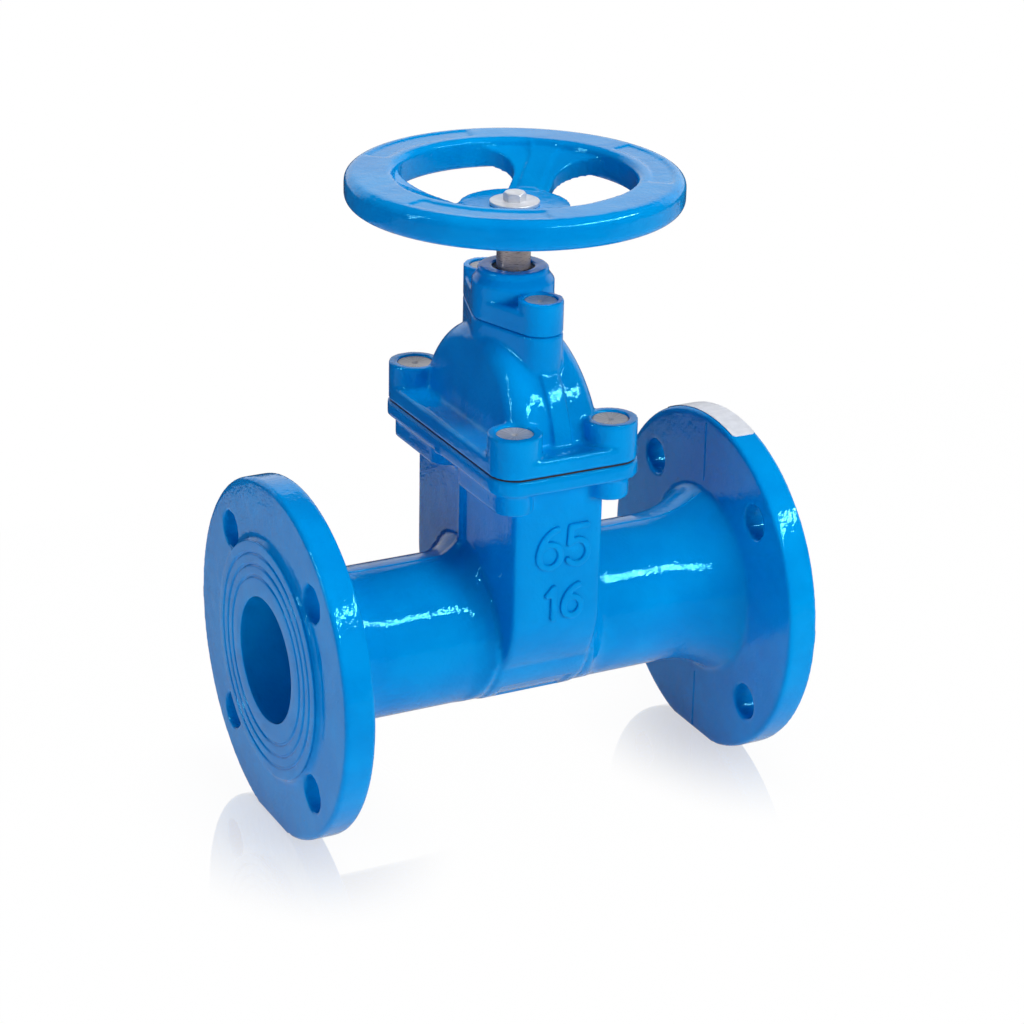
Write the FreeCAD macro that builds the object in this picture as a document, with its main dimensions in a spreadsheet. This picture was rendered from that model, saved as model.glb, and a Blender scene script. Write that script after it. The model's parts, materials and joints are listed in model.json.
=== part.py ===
import FreeCAD, Part
import math
import os
import re
import Sketcher

# Resilient seated gate valve with a non-rising stem and flanged ends.
# The pipe axis is X, the stem stands along Z, and each piece is drawn with the crossing of the
# two as its zero. The whole valve is then raised by AXIS_HEIGHT, so that it stands on z = 0.
# The gate is drawn shut and stored open: its pieces are lifted by gate_lift.

# Driving dimensions in millimetres, and in degrees or counts where the note says so
SIZES = [
    ("face_to_face", 270, "between the two joint faces"),
    ("foot_flat_depth", 3.3, "what is cut off the lowest part of the flange rims"),
    ("bore_dia", 65, "waterway"),
    ("pipe_wall", 7, "wall of the pipe and of the gate chamber"),
    ("flange_dia", 185, "end flanges"),
    ("flange_thickness", 16, "end flange without its raised face"),
    ("raised_face_dia", 122, "joint face"),
    ("raised_face_step", 3, "height of the joint face"),
    ("serration_pitch", 6, "radial step between the rings cut in the joint face"),
    ("serration_width", 1.2, "width of a ring groove"),
    ("serration_depth", 0.6, "depth of a ring groove"),
    ("bolt_circle_dia", 145, "end flange bolt circle"),
    ("bolt_hole_dia", 19, "end flange bolt holes"),
    ("hub_length", 33, "flare from the pipe to a flange"),
    ("hub_rise", 10.5, "growth of the pipe's radius along that flare"),
    ("neck_flare_length", 15, "flare from the pipe to the gate chamber"),
    ("neck_flare_rise", 14, "growth of the pipe's radius along that flare"),
    ("neck_flare_inset", 0.6, "how far that flare stands back from the chamber's outline"),
    ("flange_edge_bevel", 1.2, "bevel of the flange rims"),
    ("chamber_side_radius", 56, "end walls of the gate chamber, below the straight part"),
    ("chamber_side_height", 26, "where the straight part of the end walls starts"),
    ("chamber_bottom_height", 7.5, "centre of the round bottom"),
    ("chamber_half_width", 24.6, "half width of the end panels along X"),
    ("chamber_draft", 1.4, "growth of that half width towards the parting plane"),
    ("panel_edge_round", 2.5, "rounding of the panel edges"),
    ("body_top", 104, "upper face of the body flange"),
    ("body_flange_thickness", 8.2, "body flange"),
    ("body_flange_margin", 0.6, "how far the body flange stands out past the bonnet"),
    ("bonnet_half_x", 40, "bonnet flange, half size along the pipe"),
    ("bonnet_half_y", 70, "bonnet flange, half size across the pipe"),
    ("bonnet_corner", 13.6, "corner radius of the bonnet flange and radius of its bosses"),
    ("lug_radius", 10, "tapped lugs under the body flange"),
    ("lug_drop", 11.6, "how far the lugs reach below the body flange"),
    ("lug_gap", 8, "half gap between the two lugs of one side"),
    ("gasket_thickness", 0.9, "bonnet gasket"),
    ("gasket_inset", 0.8, "gasket edge inside the bonnet edge"),
    ("bonnet_flange_thickness", 8.6, "bonnet flange"),
    ("bonnet_edge_round", 2, "upper rim of the bonnet flange"),
    ("boss_height", 20.2, "screw bosses above the gasket"),
    ("dome_half_low", 26.4, "half width of the dome at the gasket"),
    ("dome_half_high", 20.4, "half width of the dome under the gland"),
    ("dome_rim_round", 11, "rounding of the dome's rim"),
    ("dome_rib_half", 4.8, "half width of the rib along the rim"),
    ("dome_rib_rise", 2.2, "how far that rib stands out"),
    ("neck_rise", 1.7, "upper face of the bonnet's neck above the dome's rib"),
    ("neck_depth", 34, "how far the neck reaches down into the dome"),
    ("neck_mid_radius", 20.7, "middle of the lozenge shared by neck and gland"),
    ("neck_end_radius", 11.3, "ends of the lozenge"),
    ("gland_bolt_y", 30.1, "gland screws from the stem axis"),
    ("bearing_floor", 9, "metal between the space in the bonnet and the seat of the thrust washers"),
    ("cavity_half_width", 17.2, "half width of the gate space"),
    ("cavity_half_low", 12.2, "half width of the gate space at its bottom"),
    ("seat_top", 38, "where the inclined seats end"),
    ("seat_foot_depth", 34, "where they start, below the pipe axis"),
    ("floor_rise", 0.5, "chamber floor above the lowest line of the bore"),
    ("rail_half_width", 3, "half width of the guide rails"),
    ("rail_rise", 3, "how far the guide rails stand out"),
    ("bonnet_screw_dia", 12, "socket head screws of the bonnet"),
    ("bonnet_screw_length", 20, "below the head"),
    ("bonnet_head_dia", 18, "their heads"),
    ("bonnet_screw_socket", 10, "across the flats of their sockets"),
    ("cap_thickness", 3, "filler caps over all screw heads"),
    ("cap_sink", 0.8, "caps below the top of their boss"),
    ("gland_screw_dia", 10, "socket head screws of the gland"),
    ("gland_screw_length", 16, "below the head"),
    ("gland_head_dia", 16, "their heads"),
    ("gland_screw_socket", 8, "across the flats of their sockets"),
    ("screw_recess_gap", 0.5, "play round the screw heads"),
    ("hole_gap", 0.6, "play round screws in plain holes"),
    ("thread_gap", 0.05, "play of plain shanks that stand for threads"),
    ("seam", 0.6, "shadow gap under the gland's rim"),
    ("seam_inset", 1.2, "how far the gland's foot stands back"),
    ("gland_plate", 11.2, "gland rim above the seam"),
    ("gland_boss_height", 16.9, "screw bosses above the neck"),
    ("gland_shoulder", 18.7, "middle boss above the neck, straight part"),
    ("gland_slope", 3.8, "shoulder of the middle boss"),
    ("gland_edge_round", 1.8, "upper edges of the gland"),
    ("gland_height", 25.5, "gland top above the neck"),
    ("gland_top_radius", 17.8, "gland at its top"),
    ("spigot_radius", 15.5, "gland spigot in the bonnet"),
    ("spigot_length", 5.2, "depth of the spigot"),
    ("spigot_gap", 0.1, "radial play of the spigot, washers and bushes in their seats"),
    ("washer_thickness", 2, "thrust washers"),
    ("running_gap", 0.06, "radial play of the stem in its bearings"),
    ("face_gap", 0.3, "gap at faces that slide or turn"),
    ("collar_radius", 13.5, "stem collar"),
    ("collar_thickness", 6, "stem collar"),
    ("stem_dia", 17, "plain upper stem"),
    ("thread_dia", 20, "threaded lower stem"),
    ("stem_foot", 36, "lower end of the stem"),
    ("stem_bevel", 1.5, "bevel at the lower end"),
    ("square_size", 13, "square that drives the wheel"),
    ("square_gap", 0.15, "play of the square in the wheel"),
    ("bush_radius", 11.6, "gland bush"),
    ("bush_length", 22, "gland bush"),
    ("wiper_radius", 10.6, "wiper ring round the stem"),
    ("wiper_height", 6, "wiper ring"),
    ("wiper_sink", 1, "wiper ring below the gland's top"),
    ("ring_section", 1.8, "section of the sealing rings"),
    ("gate_side_inset", 1.6, "gate edge from the chamber's end walls"),
    ("gate_top", 60, "upper face of the gate when shut"),
    ("rubber_thickness", 3.5, "lining over the iron gate"),
    ("nut_foot", 38, "lower face of the stem nut when shut"),
    ("nut_height", 18, "stem nut"),
    ("nut_half_y", 14, "half size of the stem nut across the pipe"),
    ("nut_half_x", 13, "half size of the stem nut along the pipe"),
    ("stem_tunnel_gap", 1.2, "room round the stem inside the gate"),
    ("guide_foot", 4, "lower end of the guide shoes when shut"),
    ("guide_length", 48, "guide shoes"),
    ("guide_half_width", 7.5, "half width of the guide shoes"),
    ("guide_depth", 7.2, "depth of the guide shoes across the pipe"),
    ("gate_lift", 66, "travel of the gate, shut to open"),
    ("wheel_dia", 168, "handwheel"),
    ("rim_width", 24, "section of the wheel's rim"),
    ("rim_height", 15.6, "section of the wheel's rim"),
    ("rim_round", 5, "outer rounding of the rim"),
    ("rim_inner_bevel", 2, "bevel of the rim's inner edges"),
    ("rim_track_depth", 0.8, "sunk tracks on top of the rim"),
    ("rim_track_width", 12, "the same tracks"),
    ("rim_track_angle", 54, "how far a track reaches round the rim, in degrees"),
    ("rim_step", 3.5, "spokes below the top of the rim"),
    ("web_step", 1.5, "spokes below the top of the hub"),
    ("wheel_top", 238, "upper face of the rim"),
    ("hub_top", 221.4, "upper face of the wheel's hub"),
    ("hub_height", 17, "wheel hub"),
    ("hub_radius", 27.5, "wheel hub at its top"),
    ("hub_foot_radius", 17, "wheel hub at its foot"),
    ("web_thickness", 10, "spokes"),
    ("spoke_count", 3, "spokes, a count"),
    ("spoke_angle", 48.6, "direction of the first spoke from X, in degrees"),
    ("spoke_half_width", 10.5, "half width of a spoke"),
    ("window_outer_round", 15, "window corners at the rim"),
    ("window_inner_round", 5, "window corners at the hub"),
    ("wheel_washer_dia", 25, "washer under the wheel's bolt"),
    ("wheel_washer_thickness", 2, "the same washer"),
    ("wheel_bolt_dia", 6, "bolt that holds the wheel"),
    ("wheel_bolt_length", 16, "below its head"),
    ("wheel_bolt_hex", 10, "across the flats of its head"),
    ("wheel_bolt_head", 4.2, "height of its head"),
    ("foot_reach", 60, "half width of the cut that makes the foot flats"),
]

doc = FreeCAD.newDocument("gate_valve")
sheet = doc.addObject("Spreadsheet::Sheet", "sizes")
for row, (alias, value, note) in enumerate(SIZES, start=1):
    sheet.set(f"A{row}", alias)
    sheet.set(f"B{row}", str(value))
    sheet.set(f"C{row}", note)
    sheet.setAlias(f"B{row}", alias)
doc.recompute()

ALIAS = re.compile(r"\b(" + "|".join(name for name, value, note in SIZES) + r")\b")

# Places that several pieces share, written with the names of the sheet
AXIS_HEIGHT = "(flange_dia / 2 - foot_flat_depth)"
HALF_LENGTH = "(face_to_face / 2)"
FLANGE_BACK = "(face_to_face / 2 - raised_face_step - flange_thickness)"
PIPE_RADIUS = "(bore_dia / 2 + pipe_wall)"
BOTTOM_RADIUS = "(bore_dia / 2 + pipe_wall + chamber_bottom_height)"
BODY_FLANGE_FOOT = "(body_top - body_flange_thickness)"
BONNET_SEAT = "(body_top + gasket_thickness)"
BOLT_X = "(bonnet_half_x - bonnet_corner)"
BOLT_Y = "(bonnet_half_y - bonnet_corner)"
BOSS_TOP = f"({BONNET_SEAT} + boss_height)"
NECK_TOP = f"({BONNET_SEAT} + chamber_side_radius + dome_rib_rise + neck_rise)"
GLAND_BOSS_TOP = f"({NECK_TOP} + gland_boss_height)"
GLAND_TOP = f"({NECK_TOP} + gland_height)"
SPIGOT_FOOT = f"({NECK_TOP} - spigot_length)"
UPPER_WASHER = f"({SPIGOT_FOOT} - washer_thickness)"
COLLAR_FOOT = f"({UPPER_WASHER} - face_gap - collar_thickness)"
LOWER_WASHER = f"({COLLAR_FOOT} - face_gap - washer_thickness)"
CHAMBER_ROOF = f"({LOWER_WASHER} - bearing_floor)"
HUB_FOOT = "(hub_top - hub_height)"
RIM_FOOT = "(wheel_top - rim_height)"
WHEEL_RADIUS = "(wheel_dia / 2)"
RIM_INSIDE = "(wheel_dia / 2 - rim_width)"
BUSH_FOOT = f"({SPIGOT_FOOT} + face_gap)"
BONNET_SCREW_SEAT = f"({BOSS_TOP} - cap_sink - cap_thickness - bonnet_screw_dia)"
GLAND_SCREW_SEAT = f"({GLAND_BOSS_TOP} - cap_sink - cap_thickness - gland_screw_dia)"
GLAND_RING = f"({SPIGOT_FOOT} + spigot_length / 2)"
STEM_RINGS = [f"({BUSH_FOOT} + bush_length * {share})" for share in (0.2, 0.6)]
BUSH_RINGS = [f"({BUSH_FOOT} + bush_length * {share})" for share in (0.4, 0.8)]
GUIDE_FLOOR = "(chamber_side_radius - pipe_wall - face_gap - guide_depth)"


def bound(text):
    """The same expression with each size read from the sheet."""
    return ALIAS.sub(r"sizes.\1", text)


def size(text):
    """What an expression on the sheet's sizes comes to."""
    return float(sheet.evalExpression(text))


def raised(part, lift="0"):
    """Set a piece at its height above the foot flats."""
    part.setExpression("Placement.Base.z", bound(f"{AXIS_HEIGHT} + {lift}"))
    return part


def new_body(label, lift="0"):
    body = doc.addObject("PartDesign::Body", label)
    body.Label = label
    return raised(body, lift)


def new_sketch(body, role, offset="0"):
    """A sketch on one of the body's origin planes, moved along the plane's normal."""
    plane = next(item for item in body.Origin.OriginFeatures if item.Role == role)
    sketch = body.newObject("Sketcher::SketchObject", body.Label + "_sketch")
    sketch.AttachmentSupport = [(plane, "")]
    sketch.MapMode = "FlatFace"
    sketch.setExpression("AttachmentOffset.Base.z", bound(offset))
    return sketch


def pin_point(sketch, edge, end, x, y):
    """Hold one end of an edge at two sizes from the origin."""
    for kind, text in (("DistanceX", x), ("DistanceY", y)):
        rule = sketch.addConstraint(Sketcher.Constraint(kind, -1, 1, edge, end, size(text)))
        sketch.setExpression(f"Constraints[{rule}]", bound(text))


def contour(sketch, corners):
    """A closed outline. A corner is (x, y), or (x, y, radius, side) where an arc leaves it:
    side is +1 for an arc that bulges to the right of its run and -1 for the left."""
    first = sketch.GeometryCount
    ends = []
    for step, corner in enumerate(corners):
        target = corners[(step + 1) % len(corners)]
        start = FreeCAD.Vector(size(corner[0]), size(corner[1]), 0)
        stop = FreeCAD.Vector(size(target[0]), size(target[1]), 0)
        if len(corner) == 2:
            sketch.addGeometry(Part.LineSegment(start, stop), False)
            ends.append((1, 2))
            continue
        radius = size(corner[2])
        chord = stop - start
        rise = math.sqrt(max(radius ** 2 - chord.Length ** 2 / 4, 0.0)) * corner[3]
        left = FreeCAD.Vector(-chord.y, chord.x, 0).normalize()
        centre = (start + stop) / 2 + left * rise
        low, high = (start, stop) if corner[3] > 0 else (stop, start)
        angles = [math.atan2(end.y - centre.y, end.x - centre.x) for end in (low, high)]
        circle = Part.Circle(centre, FreeCAD.Vector(0, 0, 1), radius)
        sketch.addGeometry(Part.ArcOfCircle(circle, *angles), False)
        ends.append((1, 2) if corner[3] > 0 else (2, 1))
    for step, corner in enumerate(corners):
        following = (step + 1) % len(corners)
        joint = (first + step, ends[step][1], first + following, ends[following][0])
        sketch.addConstraint(Sketcher.Constraint("Coincident", *joint))
        pin_point(sketch, first + step, ends[step][0], corner[0], corner[1])
        if len(corner) > 2:
            rule = sketch.addConstraint(Sketcher.Constraint("Radius", first + step, size(corner[2])))
            sketch.setExpression(f"Constraints[{rule}]", bound(corner[2]))


def circle(sketch, x, y, radius):
    centre = FreeCAD.Vector(size(x), size(y), 0)
    edge = sketch.addGeometry(Part.Circle(centre, FreeCAD.Vector(0, 0, 1), size(radius)), False)
    pin_point(sketch, edge, 3, x, y)
    rule = sketch.addConstraint(Sketcher.Constraint("Radius", edge, size(radius)))
    sketch.setExpression(f"Constraints[{rule}]", bound(radius))


def rectangle(sketch, half_x, half_y, x="0", y="0"):
    low_x, high_x = f"{x} - ({half_x})", f"{x} + ({half_x})"
    low_y, high_y = f"{y} - ({half_y})", f"{y} + ({half_y})"
    contour(sketch, [(low_x, low_y), (high_x, low_y), (high_x, high_y), (low_x, high_y)])


def rounded_rectangle(sketch, half_x, half_y, corner):
    """Four straight sides joined by quarter circles, run anticlockwise."""
    x, y = half_x, half_y
    inner_x, inner_y = f"({x} - {corner})", f"({y} - {corner})"
    contour(sketch, [
        (f"-{inner_x}", f"-{y}"), (inner_x, f"-{y}", corner, 1),
        (x, f"-{inner_y}"), (x, inner_y, corner, 1),
        (inner_x, y), (f"-{inner_x}", y, corner, 1),
        (f"-{x}", inner_y), (f"-{x}", f"-{inner_y}", corner, 1)])


def extrude(body, sketch, length, kind="Pad", both=False, down=False):
    """Pad or pocket a sketch. A pad grows along the sketch's normal and a pocket cuts against it."""
    before = body.Tip.Shape.Volume if body.Tip and not body.Tip.Shape.isNull() else 0.0
    feature = body.newObject("PartDesign::" + kind, body.Label + "_" + kind.lower())
    feature.Profile = sketch
    feature.Midplane = both
    feature.Reversed = down
    feature.setExpression("Length", bound(length))
    doc.recompute()
    changed(body, feature, before, kind)
    return feature


def changed(body, feature, before, kind):
    """Every added feature has to add metal, and every cut has to take some away."""
    gain = feature.Shape.Volume - before
    if (gain <= 0) == (kind in ("Pad", "Revolution")):
        raise RuntimeError(f"{body.Label}: {feature.Name} changed the volume by {gain:.3f}")


def turn(body, outline, kind="Revolution", axis="V_Axis", role="XZ_Plane"):
    """Turn an outline of (x, y) corners through a full circle about an axis of its sketch."""
    before = body.Tip.Shape.Volume if body.Tip and not body.Tip.Shape.isNull() else 0.0
    sketch = new_sketch(body, role)
    contour(sketch, outline)
    feature = body.newObject("PartDesign::" + kind, body.Label + "_" + kind.lower())
    feature.Profile = sketch
    feature.ReferenceAxis = (sketch, [axis])
    feature.Angle = 360
    doc.recompute()
    changed(body, feature, before, kind)
    return feature


def soften(body, radius, test, kind="Fillet"):
    """Round or bevel the edges of the body whose middle, length and curve pass a test."""
    doc.recompute()
    base = body.Tip
    names = [f"Edge{n}" for n, edge in enumerate(base.Shape.Edges, start=1) if test(edge)]
    if not names:
        raise RuntimeError(f"{body.Label}: no edge to soften by {radius}")
    feature = body.newObject("PartDesign::" + kind, body.Label + "_" + kind.lower())
    feature.Base = (base, names)
    feature.setExpression("Radius" if kind == "Fillet" else "Size", bound(radius))
    doc.recompute()
    return feature


def middle(edge):
    return edge.valueAt((edge.FirstParameter + edge.LastParameter) / 2)


def is_round(edge, radius, near=0.02):
    return isinstance(edge.Curve, Part.Circle) and abs(edge.Curve.Radius - radius) < near


def cut_out(label, base, tool):
    """A casting: the outer form with its core taken out."""
    part = doc.addObject("Part::Cut", label)
    part.Label = label
    part.Base = base
    part.Tool = tool
    part.Refine = True
    return part


def ring(label, inner, outer, foot, height, lift="0"):
    """A plain ring about the stem, such as a washer or a bush."""
    body = new_body(label, lift)
    sketch = new_sketch(body, "XY_Plane", foot)
    circle(sketch, "0", "0", outer)
    circle(sketch, "0", "0", inner)
    extrude(body, sketch, height)
    return body


def chamber_outline(sketch, side_inset, bottom_inset, top, shoulder=None):
    """The U of the gate chamber seen along the pipe: a round bottom, two wide side arcs and
    straight ends. The gate's own outline also closes in above its shoulder."""
    side = f"(chamber_side_radius - {side_inset})"
    low = f"({BOTTOM_RADIUS} - {bottom_inset})"
    rise = "(chamber_side_height - chamber_bottom_height)"
    crossing = f"(({low}^2 - {side}^2 + chamber_side_height^2 - chamber_bottom_height^2) / (2 * {rise}))"
    reach = f"sqrt({low}^2 - ({crossing} - chamber_bottom_height)^2)"
    corners = [
        (f"-{reach}", crossing, low, 1),
        (reach, crossing, side, 1),
        (side, "chamber_side_height")]
    if shoulder is None:
        corners += [(side, top), (f"-{side}", top)]
    else:
        closed_in = f"sqrt({side}^2 - ({top} - {shoulder})^2)"
        corners += [(side, shoulder, side, 1), (closed_in, top),
                    (f"-{closed_in}", top, side, 1), (f"-{side}", shoulder)]
    corners.append((f"-{side}", "chamber_side_height", side, 1))
    contour(sketch, corners)


def lozenge(sketch, inset="0"):
    """Outline of neck and gland: a round middle and two round ends, joined by tangents."""
    big, small = f"(neck_mid_radius - {inset})", f"(neck_end_radius - {inset})"
    lean = "((neck_mid_radius - neck_end_radius) / gland_bolt_y)"
    across = f"sqrt(1 - {lean}^2)"
    mid_x, mid_y = f"({big} * {across})", f"({big} * {lean})"
    end_x, end_y = f"({small} * {across})", f"(gland_bolt_y + {small} * {lean})"
    contour(sketch, [
        (mid_x, f"-{mid_y}", big, 1), (mid_x, mid_y), (end_x, end_y, small, 1),
        (f"-{end_x}", end_y), (f"-{mid_x}", mid_y, big, 1), (f"-{mid_x}", f"-{mid_y}"),
        (f"-{end_x}", f"-{end_y}", small, 1), (end_x, f"-{end_y}")])


def slot(sketch, x, low, high, radius):
    """A long round-ended outline along Y, from one end's centre to the other's."""
    contour(sketch, [
        (f"{x} + {radius}", low), (f"{x} + {radius}", high, radius, 1),
        (x, f"{high} + {radius}", radius, 1), (f"{x} - {radius}", high),
        (f"{x} - {radius}", low, radius, 1), (x, f"{low} - {radius}", radius, 1)])


def hexagon(sketch, x, y, across):
    """Six corners about a centre, two of them along Y."""
    flat, corner = f"({across} / 2)", f"({across} / sqrt(3))"
    contour(sketch, [
        (f"{x} + {flat}", f"{y} - {corner} / 2"), (f"{x} + {flat}", f"{y} + {corner} / 2"),
        (x, f"{y} + {corner}"), (f"{x} - {flat}", f"{y} + {corner} / 2"),
        (f"{x} - {flat}", f"{y} - {corner} / 2"), (x, f"{y} - {corner}")])


def screw_places():
    """The four bonnet screws, as signed sizes."""
    return [(f"{sx}{BOLT_X}", f"{sy}{BOLT_Y}") for sx in ("", "-") for sy in ("", "-")]


def gland_places():
    return [("0", "gland_bolt_y"), ("0", "-gland_bolt_y")]


def guide_rails(core):
    """Slits in a core's two ends: the iron that fills them becomes the gate's guide rails."""
    wall = "(chamber_side_radius - pipe_wall)"
    for side in ("", "-"):
        sketch = new_sketch(core, "XY_Plane")
        rectangle(sketch, "rail_half_width", "rail_rise", "0", f"{side}{wall}")
        extrude(core, sketch, f"2 * {NECK_TOP}", "Pocket", both=True)


def end_profile(sign):
    """Half outline of one end of the pipe, from the axis outwards: joint face with its ring
    grooves, flange and the flare's two ends."""
    face, cut = f"{sign}{HALF_LENGTH}", f"{sign}({HALF_LENGTH} - serration_depth)"
    corners = [(face, "0")]
    for place in (3, 2, 1):
        ring_radius = f"raised_face_dia / 2 - {place} * serration_pitch"
        low, high = f"{ring_radius} - serration_width / 2", f"{ring_radius} + serration_width / 2"
        corners += [(face, low), (cut, ring_radius), (face, high)]
    shelf = f"{sign}({HALF_LENGTH} - raised_face_step)"
    corners += [(face, "raised_face_dia / 2"), (shelf, "raised_face_dia / 2"),
                (shelf, "flange_dia / 2"), (f"{sign}{FLANGE_BACK}", "flange_dia / 2")]
    corners += [(f"{sign}{FLANGE_BACK}", f"{PIPE_RADIUS} + hub_rise"),
                (f"{sign}({FLANGE_BACK} - hub_length)", PIPE_RADIUS)]
    return corners


def on_end_wall(point):
    """Is the point on the chamber's end walls, which are straight above and round below?"""
    below = min(point.z - size("chamber_side_height"), 0.0)
    return abs(math.hypot(point.y, below) - size("chamber_side_radius")) < 0.3


def flare(length, rise):
    """Radius of an arc that leaves the pipe as its tangent and climbs by a rise over a length."""
    return f"(({length}^2 + {rise}^2) / (2 * {rise}))"


def neck_flares(shell):
    """Where the pipe widens into the gate chamber, on both sides, kept inside the chamber's outline."""
    start, stop = "chamber_half_width", "(chamber_half_width + neck_flare_length)"
    high = f"({PIPE_RADIUS} + neck_flare_rise)"
    arc = (flare("neck_flare_length", "neck_flare_rise"), -1)
    turn(shell, [
        (f"-{stop}", "0"), (stop, "0"), (stop, PIPE_RADIUS, *arc), (start, high),
        (f"-{start}", high, *arc), (f"-{stop}", PIPE_RADIUS)], axis="H_Axis")
    rest = new_sketch(shell, "YZ_Plane")
    rectangle(rest, "flange_dia", "flange_dia")
    chamber_outline(rest, "neck_flare_inset", "neck_flare_inset", BODY_FLANGE_FOOT)
    extrude(shell, rest, "face_to_face", "Pocket", both=True)


def valve_body():
    """The body casting: gate chamber, pipe, end flanges, bonnet flange and tapped lugs."""
    shell = new_body("body_form")
    neck_flares(shell)
    outline = new_sketch(shell, "YZ_Plane")
    chamber_outline(outline, "0", "0", BODY_FLANGE_FOOT)
    widest = "(chamber_half_width + chamber_draft)"
    extrude(shell, outline, f"2 * {widest}", both=True)
    for side in ("", "-"):
        sliver = new_sketch(shell, "XY_Plane")
        edge = f"{side}chamber_half_width"
        contour(sliver, [
            (edge, "-chamber_side_radius"), (f"{side}{widest}", "0"), (edge, "chamber_side_radius"),
            (f"{side}({widest} + chamber_draft)", "chamber_side_radius"),
            (f"{side}({widest} + chamber_draft)", "-chamber_side_radius")])
        extrude(shell, sliver, "2 * body_top", "Pocket", both=True)
    narrow = size("chamber_half_width")
    soften(shell, "panel_edge_round", lambda edge: abs(abs(middle(edge).x) - narrow) < 0.8
           and on_end_wall(middle(edge)) and edge.Length > size("chamber_side_height / 2"))
    outlet, inlet = end_profile(""), end_profile("-")[::-1]
    arc = (flare("hub_length", "hub_rise"), -1)
    outlet[-2] += arc
    inlet[0] += arc
    turn(shell, outlet + inlet, axis="H_Axis")
    flange = new_sketch(shell, "XY_Plane", BODY_FLANGE_FOOT)
    rounded_rectangle(flange, "(bonnet_half_x + body_flange_margin)", "(bonnet_half_y + body_flange_margin)",
                      "(bonnet_corner + body_flange_margin)")
    extrude(shell, flange, "body_flange_thickness")
    lugs = new_sketch(shell, "XY_Plane", BODY_FLANGE_FOOT)
    inner_end = "(lug_gap + lug_radius)"
    for side in ("", "-"):
        slot(lugs, f"{side}{BOLT_X}", inner_end, BOLT_Y, "lug_radius")
        slot(lugs, f"{side}{BOLT_X}", f"-{BOLT_Y}", f"-{inner_end}", "lug_radius")
    extrude(shell, lugs, "lug_drop", down=True)
    rim = size("flange_dia / 2")
    soften(shell, "flange_edge_bevel", lambda edge: is_round(edge, rim), "Chamfer")
    foot = new_sketch(shell, "YZ_Plane")
    rectangle(foot, "foot_reach", "foot_reach", "0", f"(-{AXIS_HEIGHT} - foot_reach)")
    extrude(shell, foot, "face_to_face", "Pocket", both=True)
    end_holes(shell)
    tapped = new_sketch(shell, "XY_Plane", "body_top")
    for x, y in screw_places():
        circle(tapped, x, y, "bonnet_screw_dia / 2 + thread_gap")
    tip = f"({BONNET_SCREW_SEAT} - bonnet_screw_length)"
    extrude(shell, tapped, f"body_top - {tip} + hole_gap", "Pocket")
    return cut_out("body", shell, body_core())


def end_holes(shell):
    """Four bolt holes through each end flange, off the vertical centre line."""
    offset = "(bolt_circle_dia / 2 * sqrt(0.5))"
    for sign, back in (("", False), ("-", True)):
        sketch = new_sketch(shell, "YZ_Plane", f"{sign}{HALF_LENGTH}")
        for y in ("", "-"):
            for z in ("", "-"):
                circle(sketch, f"{y}{offset}", f"{z}{offset}", "bolt_hole_dia / 2")
        extrude(shell, sketch, "raised_face_step + flange_thickness", "Pocket", down=back)


def body_core():
    """The waterway, and the space that the gate moves in: inclined seats below, straight above."""
    core = new_body("body_core")
    outline = new_sketch(core, "YZ_Plane")
    chamber_outline(outline, "pipe_wall", "(pipe_wall + floor_rise)", "(body_top + gasket_thickness)")
    extrude(core, outline, "2 * cavity_half_width", both=True)
    seat_slivers(core, "cavity_half_width", "cavity_half_low")
    guide_rails(core)
    waterway = new_sketch(core, "YZ_Plane")
    circle(waterway, "0", "0", "bore_dia / 2")
    extrude(core, waterway, "face_to_face", both=True)
    return core


def seat_slivers(body, high, low):
    """Incline the two broad faces of a chamber or gate between the seats' foot and top."""
    for side in ("", "-"):
        sliver = new_sketch(body, "XZ_Plane")
        contour(sliver, [(f"{side}{high}", "seat_top"), (f"{side}{low}", "-seat_foot_depth"),
                         (f"{side}{high}", "-seat_foot_depth")])
        extrude(body, sliver, "2 * chamber_side_radius", "Pocket", both=True)


def half_disc(sketch, radius, centre):
    """A round top on a flat foot."""
    contour(sketch, [
        (f"-{radius}", centre), (radius, centre, radius, 1),
        ("0", f"{centre} + {radius}", radius, 1)])


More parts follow.
